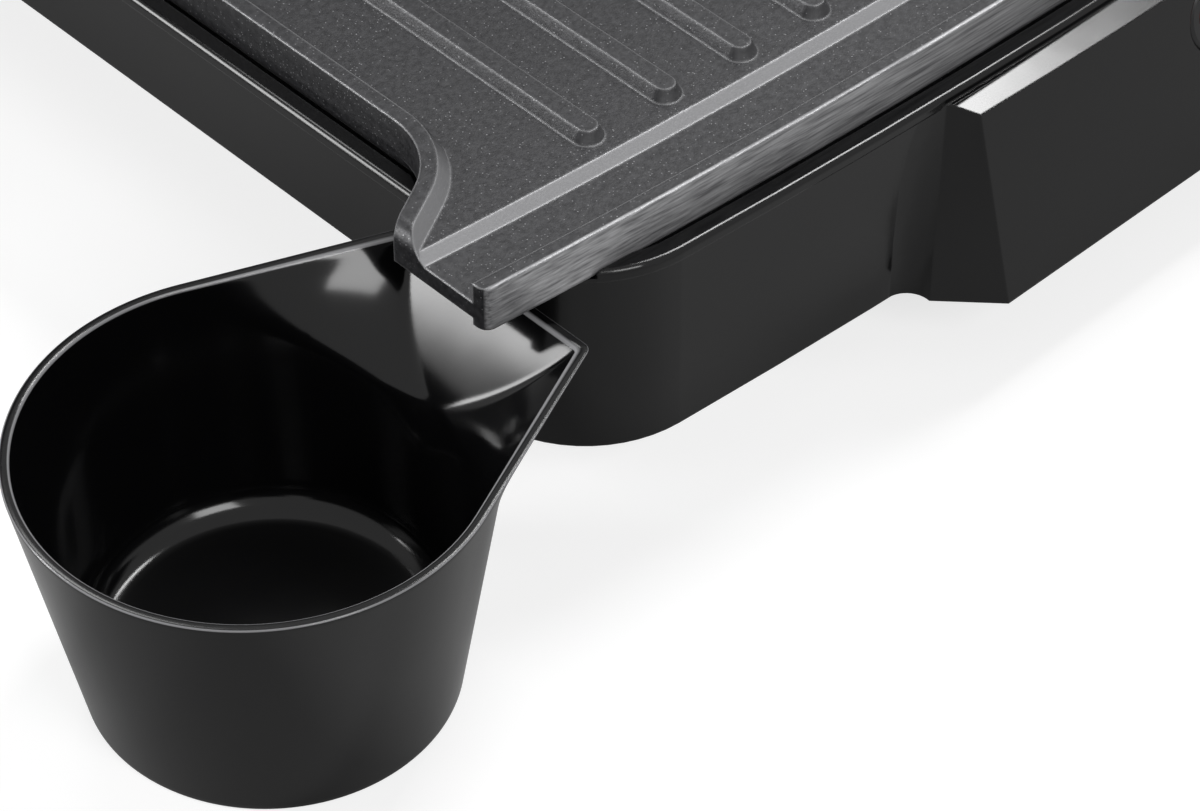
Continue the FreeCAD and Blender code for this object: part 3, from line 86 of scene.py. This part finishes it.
def between(tree, value, low, high, to_low, to_high):
    """A value carried from one span to another, and held at the ends."""
    sockets = {0: value, 1: low, 2: high, 3: to_low, 4: to_high}
    return add(tree, "MapRange", sockets, clamp=True).outputs[0]


def blend_shades(tree, amount, first, second):
    """One shade turning to another with the amount; each is a hex shade or a colour output."""
    ends = [linear(end) if isinstance(end, str) else end for end in (first, second)]
    return add(tree, "Mix", {0: amount, 6: ends[0], 7: ends[1]}, data_type="RGBA").outputs[2]


def raise_by(tree, surface, height, depth_mm, under=None):
    """Bump whose full height is depth_mm."""
    sockets = {"Height": height, "Distance": depth_mm * MM, "Strength": 1.0}
    if under is not None:
        sockets["Normal"] = under
    bump = add(tree, "Bump", sockets)
    tree.links.new(bump.outputs[0], surface.inputs["Normal"])
    return bump.outputs[0]


def rounded_edges(tree, radius_mm):
    """The moulded edge's small radius, as the shader sees it."""
    return add(tree, "Bevel", {"Radius": radius_mm * MM}, samples=6).outputs[0]


def moulded_gloss(name, shade, rough, edge_mm):
    """Polished ABS: near-black body, sharp reflections, ripples 9 mm long and haze in 30 mm clouds."""
    material, tree, surface, place = start_material(name, shade, rough)
    surface.inputs["IOR"].default_value = 1.43
    haze = between(tree, grain(tree, place, 30.0), 0.35, 0.65, rough * 0.85, rough * 1.3)
    tree.links.new(haze, surface.inputs["Roughness"])
    raise_by(tree, surface, grain(tree, place, 9.0, 1.0), 0.012, rounded_edges(tree, edge_mm))
    return material


def dress(material, *names):
    """Gives the material to every slot of these CAD pieces."""
    for name in names:
        for slot in nodes[name].material_slots:
            slot.material = material


casing_gloss = moulded_gloss("polished black ABS", "#070708", 0.12, 0.5)
dress(casing_gloss, "base_shell", "hinge_towers")

# The bottom cover is a second moulding in the same ABS, from a tool with a fine spark-eroded grain.
# It is held by six screws, and the legs that it carries stand on rubber feet.


def textured_plastic(name, shade, rough, grain_mm, depth_mm):
    """Spark-eroded or satin plastic: an even fine grain that spreads the light."""
    material, tree, surface, place = start_material(name, shade, rough)
    lumps = grain(tree, place, grain_mm, 3.0)
    tree.links.new(between(tree, lumps, 0.3, 0.7, rough * 0.9, rough * 1.12), surface.inputs["Roughness"])
    raise_by(tree, surface, lumps, depth_mm)
    return material


def plated_steel(name, shade, rough, cloud_mm=2.5):
    """Zinc plated steel: pale metal with cloudy crystals in its plating."""
    material, tree, surface, place = start_material(name, shade, rough, 1.0)
    cloud = grain(tree, place, cloud_mm, 3.0)
    tree.links.new(between(tree, cloud, 0.3, 0.7, rough * 0.8, rough * 1.3), surface.inputs["Roughness"])
    return material


dress(textured_plastic("spark-grained black ABS", "#161617", 0.5, 0.6, 0.03), "bottom_cover")
foot_rubber = textured_plastic("moulded black rubber", "#1b1b1b", 0.75, 0.8, 0.02)
dress(foot_rubber, "rubber_feet")
screw_zinc = plated_steel("zinc plated screw steel", "#b9bab8", 0.35)
dress(screw_zinc, "cover_screws", "tower_screws")

# The lower element is a steel tube packed with powder and bent to a loop; strip clamps hold it to the plate.
# Under it, a folded tray of plated sheet throws the heat back up.

element_sheath, tree, surface, place = start_material("heat-stained element tube", "#6d675f", 0.45, 1.0)
stain = between(tree, grain(tree, place, 14.0, 4.0), 0.35, 0.65, 0.0, 1.0)
tree.links.new(blend_shades(tree, stain, "#7c7468", "#4c4650"), surface.inputs["Base Color"])
dress(element_sheath, "lower_element", "upper_element")
sheet_zinc = plated_steel("zinc plated sheet", "#c4c5c3", 0.3, 4.0)
dress(sheet_zinc, "lower_element_clamps", "lower_heat_shield")
dress(screw_zinc, "lower_clamp_screws")

# The lower plate is die-cast aluminium under a sprayed dark non-stick coat with bright mineral flecks.
# Its front wall follows the casing's bow and was linished along its length, so the metal's lines show there;
# the narrow lip under it is drawn darker, with less of the lines blended over the coat.
PLATE_FRONT = -160.344
BOW_RADIUS = 1530.0
PLATE_MIDDLE = 42.0
PLATE_LIP = 56.1
COAT_SHADES = ("#3e3e40", "#2c2c2e", "#8c8c8e")
# The pale shade serves worn edges, painted highlights on edges and painted light on front-facing slopes.
WORN_AND_HIGHLIGHT_SHADE = "#a2a2a4"
FLECK_SPACING = 0.6


def speckled_coat(name, body, deep, fleck):
    """Sprayed coat: a body shade clouded at 1.2 mm, grit 0.4 mm across, and pale flecks 0.25 mm across. The
    flecks are drawn coarser than the real ones so that they show. Along edges and fillets, where the rounded
    normal turns from the face's own, the coat is drawn paler: partly the thinner coat's wear, partly a
    painted highlight. Slopes that face the front are painted paler too, as painted light from the front."""
    material, tree, surface, place = start_material(name, body, 0.4, 0.35)
    cloud = between(tree, grain(tree, place, 1.2, 4.0), 0.35, 0.65, 0.0, 1.0)
    grit = grain(tree, place, 0.4, 2.0)
    spots = add(tree, "TexVoronoi", {"Vector": place, "Scale": 1 / (FLECK_SPACING * MM), "Randomness": 1.0})
    near = between(tree, spots.outputs["Distance"], 0.12, 0.26, 1.0, 0.0)
    chance = add(tree, "SeparateColor", {0: spots.outputs["Color"]}).outputs[0]
    rare = between(tree, chance, 0.6, 0.9, 0.0, 1.0)
    flecks = add(tree, "Math", {0: near, 1: rare}, operation="MULTIPLY").outputs[0]
    coat = blend_shades(tree, flecks, blend_shades(tree, cloud, deep, body), fleck)
    rounded = rounded_edges(tree, 0.7)
    face = add(tree, "NewGeometry", {}).outputs["Normal"]
    agree = add(tree, "VectorMath", {0: rounded, 1: face}, operation="DOT_PRODUCT").outputs["Value"]
    facing = add(tree, "SeparateXYZ", {0: face})
    # Slopes that face the front get the pale shade: painted light from the front.
    forward = between(tree, facing.outputs[1], -0.55, -0.25, 1.0, 0.0)
    upward = between(tree, facing.outputs[2], 0.4, 0.7, 0.0, 1.0)
    front_slope_painted_light = add(tree, "Math", {0: forward, 1: upward}, operation="MULTIPLY").outputs[0]
    # Edges and fillets get the pale shade partly as wear and partly as a painted highlight.
    edge_wear_and_painted_light = add(tree, "Math", {0: between(tree, agree, 0.82, 0.98, 0.95, 0.0), 1: front_slope_painted_light}, operation="MAXIMUM")
    coat = blend_shades(tree, between(tree, edge_wear_and_painted_light.outputs[0], 0.0, 1.0, 0.0, 0.9), coat, WORN_AND_HIGHLIGHT_SHADE)
    tree.links.new(coat, surface.inputs["Base Color"])
    tree.links.new(between(tree, grit, 0.3, 0.7, 0.3, 0.46), surface.inputs["Roughness"])
    raise_by(tree, surface, grit, 0.03, rounded)
    return material, tree, surface, place, coat


plate_coat, tree, surface, place, coat = speckled_coat("flecked non-stick coat", *COAT_SHADES)
axes = add(tree, "SeparateXYZ", {0: place})
off_middle = add(tree, "Math", {0: axes.outputs[0], 1: PLATE_MIDDLE * MM}, operation="SUBTRACT").outputs[0]
squared = add(tree, "Math", {0: off_middle, 1: off_middle}, operation="MULTIPLY").outputs[0]
bow_line = {0: squared, 1: 1 / (2 * BOW_RADIUS * MM), 2: PLATE_FRONT * MM}
bowed = add(tree, "Math", bow_line, operation="MULTIPLY_ADD").outputs[0]
behind = add(tree, "Math", {0: axes.outputs[1], 1: bowed}, operation="SUBTRACT").outputs[0]
on_front = between(tree, behind, 0.5 * MM, 0.9 * MM, 1.0, 0.0)
above_lip = between(tree, axes.outputs[2], PLATE_LIP * MM, (PLATE_LIP + 0.6) * MM, 0.7, 1.0)
linished = add(tree, "Math", {0: on_front, 1: above_lip}, operation="MULTIPLY").outputs[0]
lines = grain(tree, place, 0.5, 4.0, (0.03, 1, 1))
scratched = blend_shades(tree, between(tree, lines, 0.3, 0.7, 0.0, 1.0), "#747476", "#c4c4c6")
tree.links.new(blend_shades(tree, linished, coat, scratched), surface.inputs["Base Color"])
dress(plate_coat, "lower_plate")
upper_coat = speckled_coat("flecked non-stick coat, lid side", *COAT_SHADES)[0]

# The thermostat stands behind the block's sloping face, its shaft in a plain dial, beside a red pilot lamp.
# Dial and lamp ring are satin black plastic, the lens is clear red, and the switch body is glazed ceramic.

dial_satin = textured_plastic("satin black ABS", "#151516", 0.32, 1.5, 0.006)
dress(dial_satin, "thermostat_dial", "lamp_bezel", "lid_lock")
pin_steel, tree, surface, place = start_material("bright drawn steel", "#c9cacb", 0.16, 1.0)
dress(pin_steel, "thermostat_shaft")
glazed_ceramic, tree, surface, place = start_material("glazed steatite", "#dcd6c8", 0.28)
dress(glazed_ceramic, "thermostat", "terminal_block")
lamp_glass, tree, surface, place = start_material("clear red lens", "#c2301a", 0.12)
surface.inputs["Transmission Weight"].default_value = 0.6
dress(lamp_glass, "lamp_lens")
bulb_holder, tree, surface, place = start_material("neon lamp holder", "#d8cdb8", 0.4)
dress(bulb_holder, "indicator_lamp")

# The scale is pad-printed on the face in pale ink: a short mark for off, then marks that grow with the heat.
# The dial's finger bar has one printed line that points at them.
DIAL_PLACE = np.array([70.0, -174.181, 36.2])
DIAL_AXES = np.array([[1, 0, 0], [0, 0.24429, 0.9697], [0, -0.9697, 0.24429]])
INK_THICK = 0.05
SCALE_FROM, BAR_FACE = 16.6, 13.5


def printed_marks(name, marks, height, body):
    """Thin bars of ink that run outwards from the dial's axis. A mark is its clockwise turn from the top in
    degrees, its inner and outer radius and its width; height is how far out of the face the ink lies. Each
    bar is its radial line widened to both sides and raised by the ink's thickness, as one grid of corners."""
    turn, inner, outer, wide = (column[:, None, None, None] for column in np.array(marks, float).T)
    outward = np.concatenate([np.sin(np.radians(turn)), np.cos(np.radians(turn)), 0 * turn], axis=3)
    aside = np.concatenate([np.cos(np.radians(turn)), -np.sin(np.radians(turn)), 0 * turn], axis=3)
    level = np.array([0, INK_THICK])[None, :, None, None]
    along = np.array([0, 1, 1, 0])[None, None, :, None]
    side = np.array([-0.5, -0.5, 0.5, 0.5])[None, None, :, None]
    local = outward * (inner + (outer - inner) * along) + aside * side * wide
    local = local + (height + level) * np.array([0, 0, 1])
    points = (DIAL_PLACE + local @ DIAL_AXES) * MM
    ring = np.array([(0, 1, 2, 3), (7, 6, 5, 4), (0, 4, 5, 1), (1, 5, 6, 2), (2, 6, 7, 3), (3, 7, 4, 0)])
    faces = (np.arange(len(marks))[:, None, None] * 8 + ring).reshape(-1, 4)
    mesh = bpy.data.meshes.new(name)
    mesh.from_pydata(points.reshape(-1, 3).tolist(), [], faces.tolist())
    made = bpy.data.objects.new(name, mesh)
    bpy.context.scene.collection.objects.link(made)
    mesh.materials.append(pale_ink)
    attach(made, body)
    return made


pale_ink = textured_plastic("pale printing ink", "#d4d4d0", 0.5, 0.3, 0.002)
scale_marks = [(0, SCALE_FROM, 17.4, 1.0)]
scale_marks += [(turn, SCALE_FROM, 17.2 + turn * 0.005, 0.5) for turn in range(30, 301, 30)]
printed_marks("dial_scale", scale_marks, 0.0, "base")
printed_marks("dial_pointer", [(0, 6.0, 12.4, 1.1)], BAR_FACE, "dial")

# The mains lead would come in through a rubber gland at the back, to a terminal block and a fuse.
# Sleeved wires run on from there; the lead itself isn't part of this grill.

dress(foot_rubber, "cord_gland")
sleeve, tree, surface, place = start_material("silicone sleeve", "#bdb4a2", 0.6)
dress(sleeve, "mains_wires")
dress(sheet_zinc, "thermal_fuse")

# The drip cup is a thin glossy moulding in ABS: a tapered bowl that opens to a chute under the spout.
# Its floor is raised over a foot ring, and the flat rim's two rounded edges are painted paler: a painted
# highlight.
CUP_MIDDLE = (-161.6, -142.844)
CUP_TOP = 53.2
CUP_RIM, CUP_FOOT = 41.0, 32.0
CUP_FOOT_SHIFT = 1.0
CUP_WALL, CUP_FLOOR, CUP_RECESS = 1.8, 7.2, 5.2
MOUTH_REACH, MOUTH_HALF, CHUTE_DEEP = 55.1, 22.0, 27.0
MOUTH_CORNER, CHUTE_SOFT, MOUTH_FAN = 2.2, 20.0, 36.0
RIM_ROUND, FOOT_ROUND, FLOOR_ROUND = 0.45, 0.8, 5.0
FOOT_INSET = 3.0
# The pale shade is a painted highlight for the rim's two rounded edges.
CUP_BLACK, RIM_HIGHLIGHT_SHADE = "#0a0a0b", "#8e8e90"


def cup_rings(heights, insets):
    """Rings of the cup in plan, one for each height and inset. A ring is the line drawn tight round three
    circles: the bowl's, and two small ones at the mouth's corners. The bowl's radius tapers down to the
    foot, and the corners draw in to it as the chute runs out: reach with the square, width with the 0.8th
    power of the height left in the chute, while their radius grows with the square of the height lost. Each
    ring is then sampled at the same bearings from its middle, closer together across the mouth."""
    z, inset = (np.asarray(values, float)[:, None] for values in (heights, insets))
    down = (CUP_TOP - z) / CUP_TOP
    left = np.clip(1 - (CUP_TOP - z) / CHUTE_DEEP, 0, 1)
    bowl = CUP_RIM + (CUP_FOOT - CUP_RIM) * down
    corner = np.maximum(MOUTH_CORNER + CHUTE_SOFT * (1 - left) ** 2 - inset, 0.6)
    across = np.maximum(bowl + (MOUTH_REACH - CUP_RIM) * left ** 2 - inset - corner, 0)
    aside = np.maximum(MOUTH_HALF * left ** 0.8 - inset - corner, 0)
    bowl = np.maximum(bowl - inset, 0)
    corner = np.minimum(corner, bowl)
    apart = np.maximum(np.hypot(across, aside), 1e-9)
    touch = np.arctan2(aside, across) + np.arccos(np.clip((bowl - corner) / apart, -1, 1))

    def arc(radius, first, last, x, y, count):
        angle = first + (last - first) * np.linspace(0, 1, count)
        return x + radius * np.cos(angle), y + radius * np.sin(angle)

    def straight(start, end, count):
        share = np.linspace(0, 1, count + 2)[1:-1]
        return tuple(a[:, -1:] + (b[:, :1] - a[:, -1:]) * share for a, b in zip(start, end))

    upper = arc(corner, 0 * touch, touch, across, aside, 40)
    round_bowl = arc(bowl, touch, 2 * np.pi - touch, 0, 0, 400)
    lower = arc(corner, 2 * np.pi - touch, 2 * np.pi + 0 * touch, across, -aside, 40)
    runs = [upper, straight(upper, round_bowl, 60), round_bowl, straight(round_bowl, lower, 60), lower,
            straight(lower, upper, 60)]
    x, y = (np.concatenate([run[i] for run in runs], axis=1) for i in (0, 1))
    fan = np.radians(MOUTH_FAN)
    over_mouth = np.linspace(-fan, fan, 161)[:-1]
    over_bowl = np.linspace(fan, 2 * np.pi - fan, 151)[:-1]
    bearing = np.concatenate([over_mouth, over_bowl])
    reach = [np.interp(bearing, b, r, period=2 * np.pi) for b, r in zip(np.arctan2(y, x), np.hypot(x, y))]
    x, y = reach * np.cos(bearing), reach * np.sin(bearing)
    x = x + CUP_MIDDLE[0] + CUP_FOOT_SHIFT * down
    return np.stack([x, y + CUP_MIDDLE[1], z + 0 * x], axis=2) * MM


def closed_skin(name, rings):
    """A mesh over rings of equal length, each end closed by a fan to a point in its middle."""
    rows, columns = rings.shape[:2]
    points = np.concatenate([rings.reshape(-1, 3), rings[0].mean(0)[None], rings[-1].mean(0)[None]])
    here = np.arange(columns)
    after = (here + 1) % columns
    row = np.arange(rows - 1)[:, None] * columns
    quads = np.stack([row + here, row + after, row + columns + after, row + columns + here], axis=2)
    first, last = rows * columns, rows * columns + 1
    end = (rows - 1) * columns
    first_fan = np.stack([after, here, first + 0 * here], axis=1)
    last_fan = np.stack([end + here, end + after, last + 0 * here], axis=1)
    faces = quads.reshape(-1, 4).tolist() + first_fan.tolist() + last_fan.tolist()
    mesh = bpy.data.meshes.new(name)
    mesh.from_pydata(points.tolist(), [], faces)
    mesh.shade_smooth()
    made = bpy.data.objects.new(name, mesh)
    bpy.context.scene.collection.objects.link(made)
    return made


def quarter(count):
    """Angles of a quarter turn."""
    return np.linspace(0, np.pi / 2, count)


def cup_profile():
    """The moulding's section as heights and insets, from the middle of its recess, round the foot, up the
    outside, over the rim and down inside to the middle of the floor; every edge is a quarter circle."""
    turn = quarter(6)
    recess = [(CUP_RECESS, inset) for inset in np.linspace(CUP_FOOT - 0.5, FOOT_INSET + 0.4, 8)]
    recess += [(z, FOOT_INSET) for z in np.linspace(CUP_RECESS - 0.4, FOOT_ROUND, 5)]
    foot = [(FOOT_ROUND * (1 - np.sin(a)), FOOT_INSET - FOOT_ROUND * (1 - np.cos(a))) for a in turn]
    foot += [(FOOT_ROUND * (1 - np.cos(a)), FOOT_ROUND * (1 - np.sin(a))) for a in turn]
    outside = [(z, 0.0) for z in np.linspace(FOOT_ROUND, CUP_TOP - RIM_ROUND, 60)[1:-1]]
    rim = [(CUP_TOP - RIM_ROUND * (1 - np.sin(a)), RIM_ROUND * (1 - np.cos(a))) for a in turn]
    rim += [(CUP_TOP - RIM_ROUND * (1 - np.cos(a)), CUP_WALL - RIM_ROUND * (1 - np.sin(a))) for a in turn]
    low = CUP_FLOOR + FLOOR_ROUND
    inside = [(z, CUP_WALL) for z in np.linspace(CUP_TOP - RIM_ROUND, low, 60)[1:-1]]
    fillet = [(low - FLOOR_ROUND * np.sin(a), CUP_WALL + FLOOR_ROUND * (1 - np.cos(a))) for a in quarter(12)]
    middle = [(CUP_FLOOR, inset) for inset in np.linspace(CUP_WALL + FLOOR_ROUND, CUP_FOOT, 10)[1:-1]]
    return np.array(recess + foot + outside + rim + inside + fillet + middle)


cup_gloss = moulded_gloss("polished black ABS, painted rim highlight", CUP_BLACK, 0.12, 0.5)
tree = cup_gloss.node_tree
height = add(tree, "SeparateXYZ", {0: add(tree, "TexCoord", {}).outputs["Object"]}).outputs[2]
tilt = add(tree, "SeparateXYZ", {0: add(tree, "NewGeometry", {}).outputs["Normal"]}).outputs[2]
# The rim's two rounded edges get a paler base colour: a painted highlight.
rim_low = CUP_TOP - RIM_ROUND
at_rim = between(tree, height, (rim_low - 0.1) * MM, rim_low * MM, 0.0, 1.0)
turned_up = between(tree, tilt, 0.1, 0.35, 0.0, 1.0)
not_flat = between(tree, tilt, 0.88, 0.98, 1.0, 0.0)
leaning = add(tree, "Math", {0: turned_up, 1: not_flat}, operation="MULTIPLY").outputs[0]
rim_highlight_mask = add(tree, "Math", {0: at_rim, 1: leaning}, operation="MULTIPLY").outputs[0]
rim_painted_highlight = blend_shades(tree, rim_highlight_mask, CUP_BLACK, RIM_HIGHLIGHT_SHADE)
tree.links.new(rim_painted_highlight, tree.nodes["Principled BSDF"].inputs["Base Color"])

profile = cup_profile()
cup = closed_skin("drip_cup_moulding", cup_rings(profile[:, 0], profile[:, 1]))
cup.data.materials.append(cup_gloss)
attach(cup, "drip_cup")
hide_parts("drip_cup")

# Two moulded arms in satin plastic carry the lid; they turn on steel pins in the casing's towers.
# A steel rod joins their ends through a soft oval grip, and caps close the pins' ends.

arm_satin = textured_plastic("satin black nylon", "#141415", 0.38, 1.2, 0.01)
dress(arm_satin, "left_arm", "right_arm", "arm_caps", "handle_caps", "pivot_washers")
dress(textured_plastic("soft-touch black grip", "#18181a", 0.55, 0.7, 0.015), "handle_grip")
dress(pin_steel, "hinge_pins", "handle_rod", "lid_pivot_pins")

# The lid is a glossy moulding with a brushed stainless panel let into its top.
# A frame closes its underside round the upper plate, which has its own element and tray.

brushed, tree, surface, place = start_material("brushed stainless", "#b5b5b3", 0.3, 1.0)
lines = grain(tree, place, 0.6, 3.0, (0.02, 1, 1))
tree.links.new(between(tree, lines, 0.3, 0.7, 0.22, 0.42), surface.inputs["Roughness"])
raise_by(tree, surface, lines, 0.01)
dress(brushed, "lid_panel")
dress(casing_gloss, "lid_shell", "lid_frame")
dress(upper_coat, "upper_plate")
dress(sheet_zinc, "upper_element_clamps", "upper_heat_shield")
dress(screw_zinc, "lid_screws", "upper_clamp_screws")

# The grill stands on a plain white floor among four soft lights: one above, one behind, one to the left
# and one in front. The room counts as white where it is seen or mirrored, and gives only a low even light.
# Far off, where the lights no longer reach, the floor is seen as white as the room.
FLOOR_REACH = 3.0
FLOOR_NEAR, FLOOR_FAR = 0.5, 1.3
LIGHT_DISTANCE = 1.6


def white_for(tree, camera, mirror, other):
    """The strength of white that the camera sees, that mirrors and glass see, and that lights the rest."""
    path = add(tree, "LightPath", {})
    bounced = {0: path.outputs["Is Glossy Ray"], 1: path.outputs["Is Transmission Ray"]}
    mirrored = add(tree, "Math", bounced, operation="MAXIMUM").outputs[0]
    indirect = between(tree, mirrored, 0.0, 1.0, other, mirror)
    blend = {0: path.outputs["Is Camera Ray"], 1: 0.0, 2: 1.0, 3: indirect, 4: camera}
    return add(tree, "MapRange", blend).outputs[0]


floor_mesh = bpy.data.meshes.new("floor")
corners = np.array([(-1, -1, 0), (1, -1, 0), (1, 1, 0), (-1, 1, 0)]) * FLOOR_REACH
floor_mesh.from_pydata(corners.tolist(), [], [(0, 1, 2, 3)])
floor = bpy.data.objects.new("floor", floor_mesh)
bpy.context.scene.collection.objects.link(floor)
floor_white, tree, surface, place = start_material("plain white floor", "#a6a6a6", 0.9)
surface.inputs["Specular IOR Level"].default_value = 0.0
surface.inputs["Emission Color"].default_value = (1, 1, 1, 1)
from_middle = add(tree, "VectorMath", {0: place}, operation="LENGTH").outputs["Value"]
lit_away = between(tree, from_middle, FLOOR_NEAR, FLOOR_FAR, 0.74, 1.0)
across = add(tree, "SeparateXYZ", {0: place}).outputs[0]
# Seen in mirrors, the floor dims towards the left, beside the casing's left wall: a painted shadow.
mirror_white_with_painted_shadow = between(tree, across, -0.21, -0.07, 0.06, 0.2)
tree.links.new(white_for(tree, lit_away, mirror_white_with_painted_shadow, 0.0), surface.inputs["Emission Strength"])
floor_mesh.materials.append(floor_white)


def soft_light(name, direction, distance, wide, tall, watts):
    """A soft light at a distance along a direction from the grill's middle, facing it."""
    data = bpy.data.lights.new(name, "AREA")
    data.shape = "RECTANGLE"
    data.size = wide
    data.size_y = tall
    data.energy = watts
    light = bpy.data.objects.new(name, data)
    bpy.context.scene.collection.objects.link(light)
    aim = Vector(direction).normalized()
    light.location = aim * distance + Vector((0, 0, 0.05))
    light.rotation_euler = aim.to_track_quat("Z", "Y").to_euler()
    return light


soft_light("overhead softbox", (0.493, 0.091, 0.866), 1.62, 0.42, 0.42, 13.0)
soft_light("rear softbox", (0.14, 0.5, 0.86), LIGHT_DISTANCE, 0.35, 0.35, 3.0)
soft_light("left window", (-0.75, 0.54, 0.34), LIGHT_DISTANCE, 0.3, 1.1, 15.0)
soft_light("front softbox", (-0.2, -0.76, 0.62), LIGHT_DISTANCE, 0.5, 0.5, 7.0)

world = bpy.data.worlds.new("room")
bpy.context.scene.world = world
world.use_nodes = True
tree = world.node_tree
strength = white_for(tree, 1.0, 0.7, 0.25)
tree.links.new(strength, tree.nodes["Background"].inputs["Strength"])
tree.nodes["Background"].inputs["Color"].default_value = (1, 1, 1, 1)

# The camera stands in front of the left corner and looks down along a long lens.
CAMERA_PLACE = (-0.49428, -0.57003, 0.58537)
CAMERA_TURN = math.radians(-43.81)
CAMERA_RISE = math.radians(44.18)
CAMERA_ROLL = math.radians(-0.08)

camera_data = bpy.data.cameras.new("camera")
camera_data.lens = 141.445
camera_data.sensor_width = 36.0
camera_data.sensor_fit = "HORIZONTAL"
camera_data.clip_start = 0.01
camera = bpy.data.objects.new("camera", camera_data)
bpy.context.scene.collection.objects.link(camera)
turn = Matrix.Rotation(CAMERA_TURN, 4, "Z") @ Matrix.Rotation(math.pi / 2 - CAMERA_RISE, 4, "X")
camera.matrix_world = Matrix.Translation(CAMERA_PLACE) @ turn @ Matrix.Rotation(CAMERA_ROLL, 4, "Z")
bpy.context.scene.camera = camera
bpy.context.scene.view_settings.view_transform = "Standard"
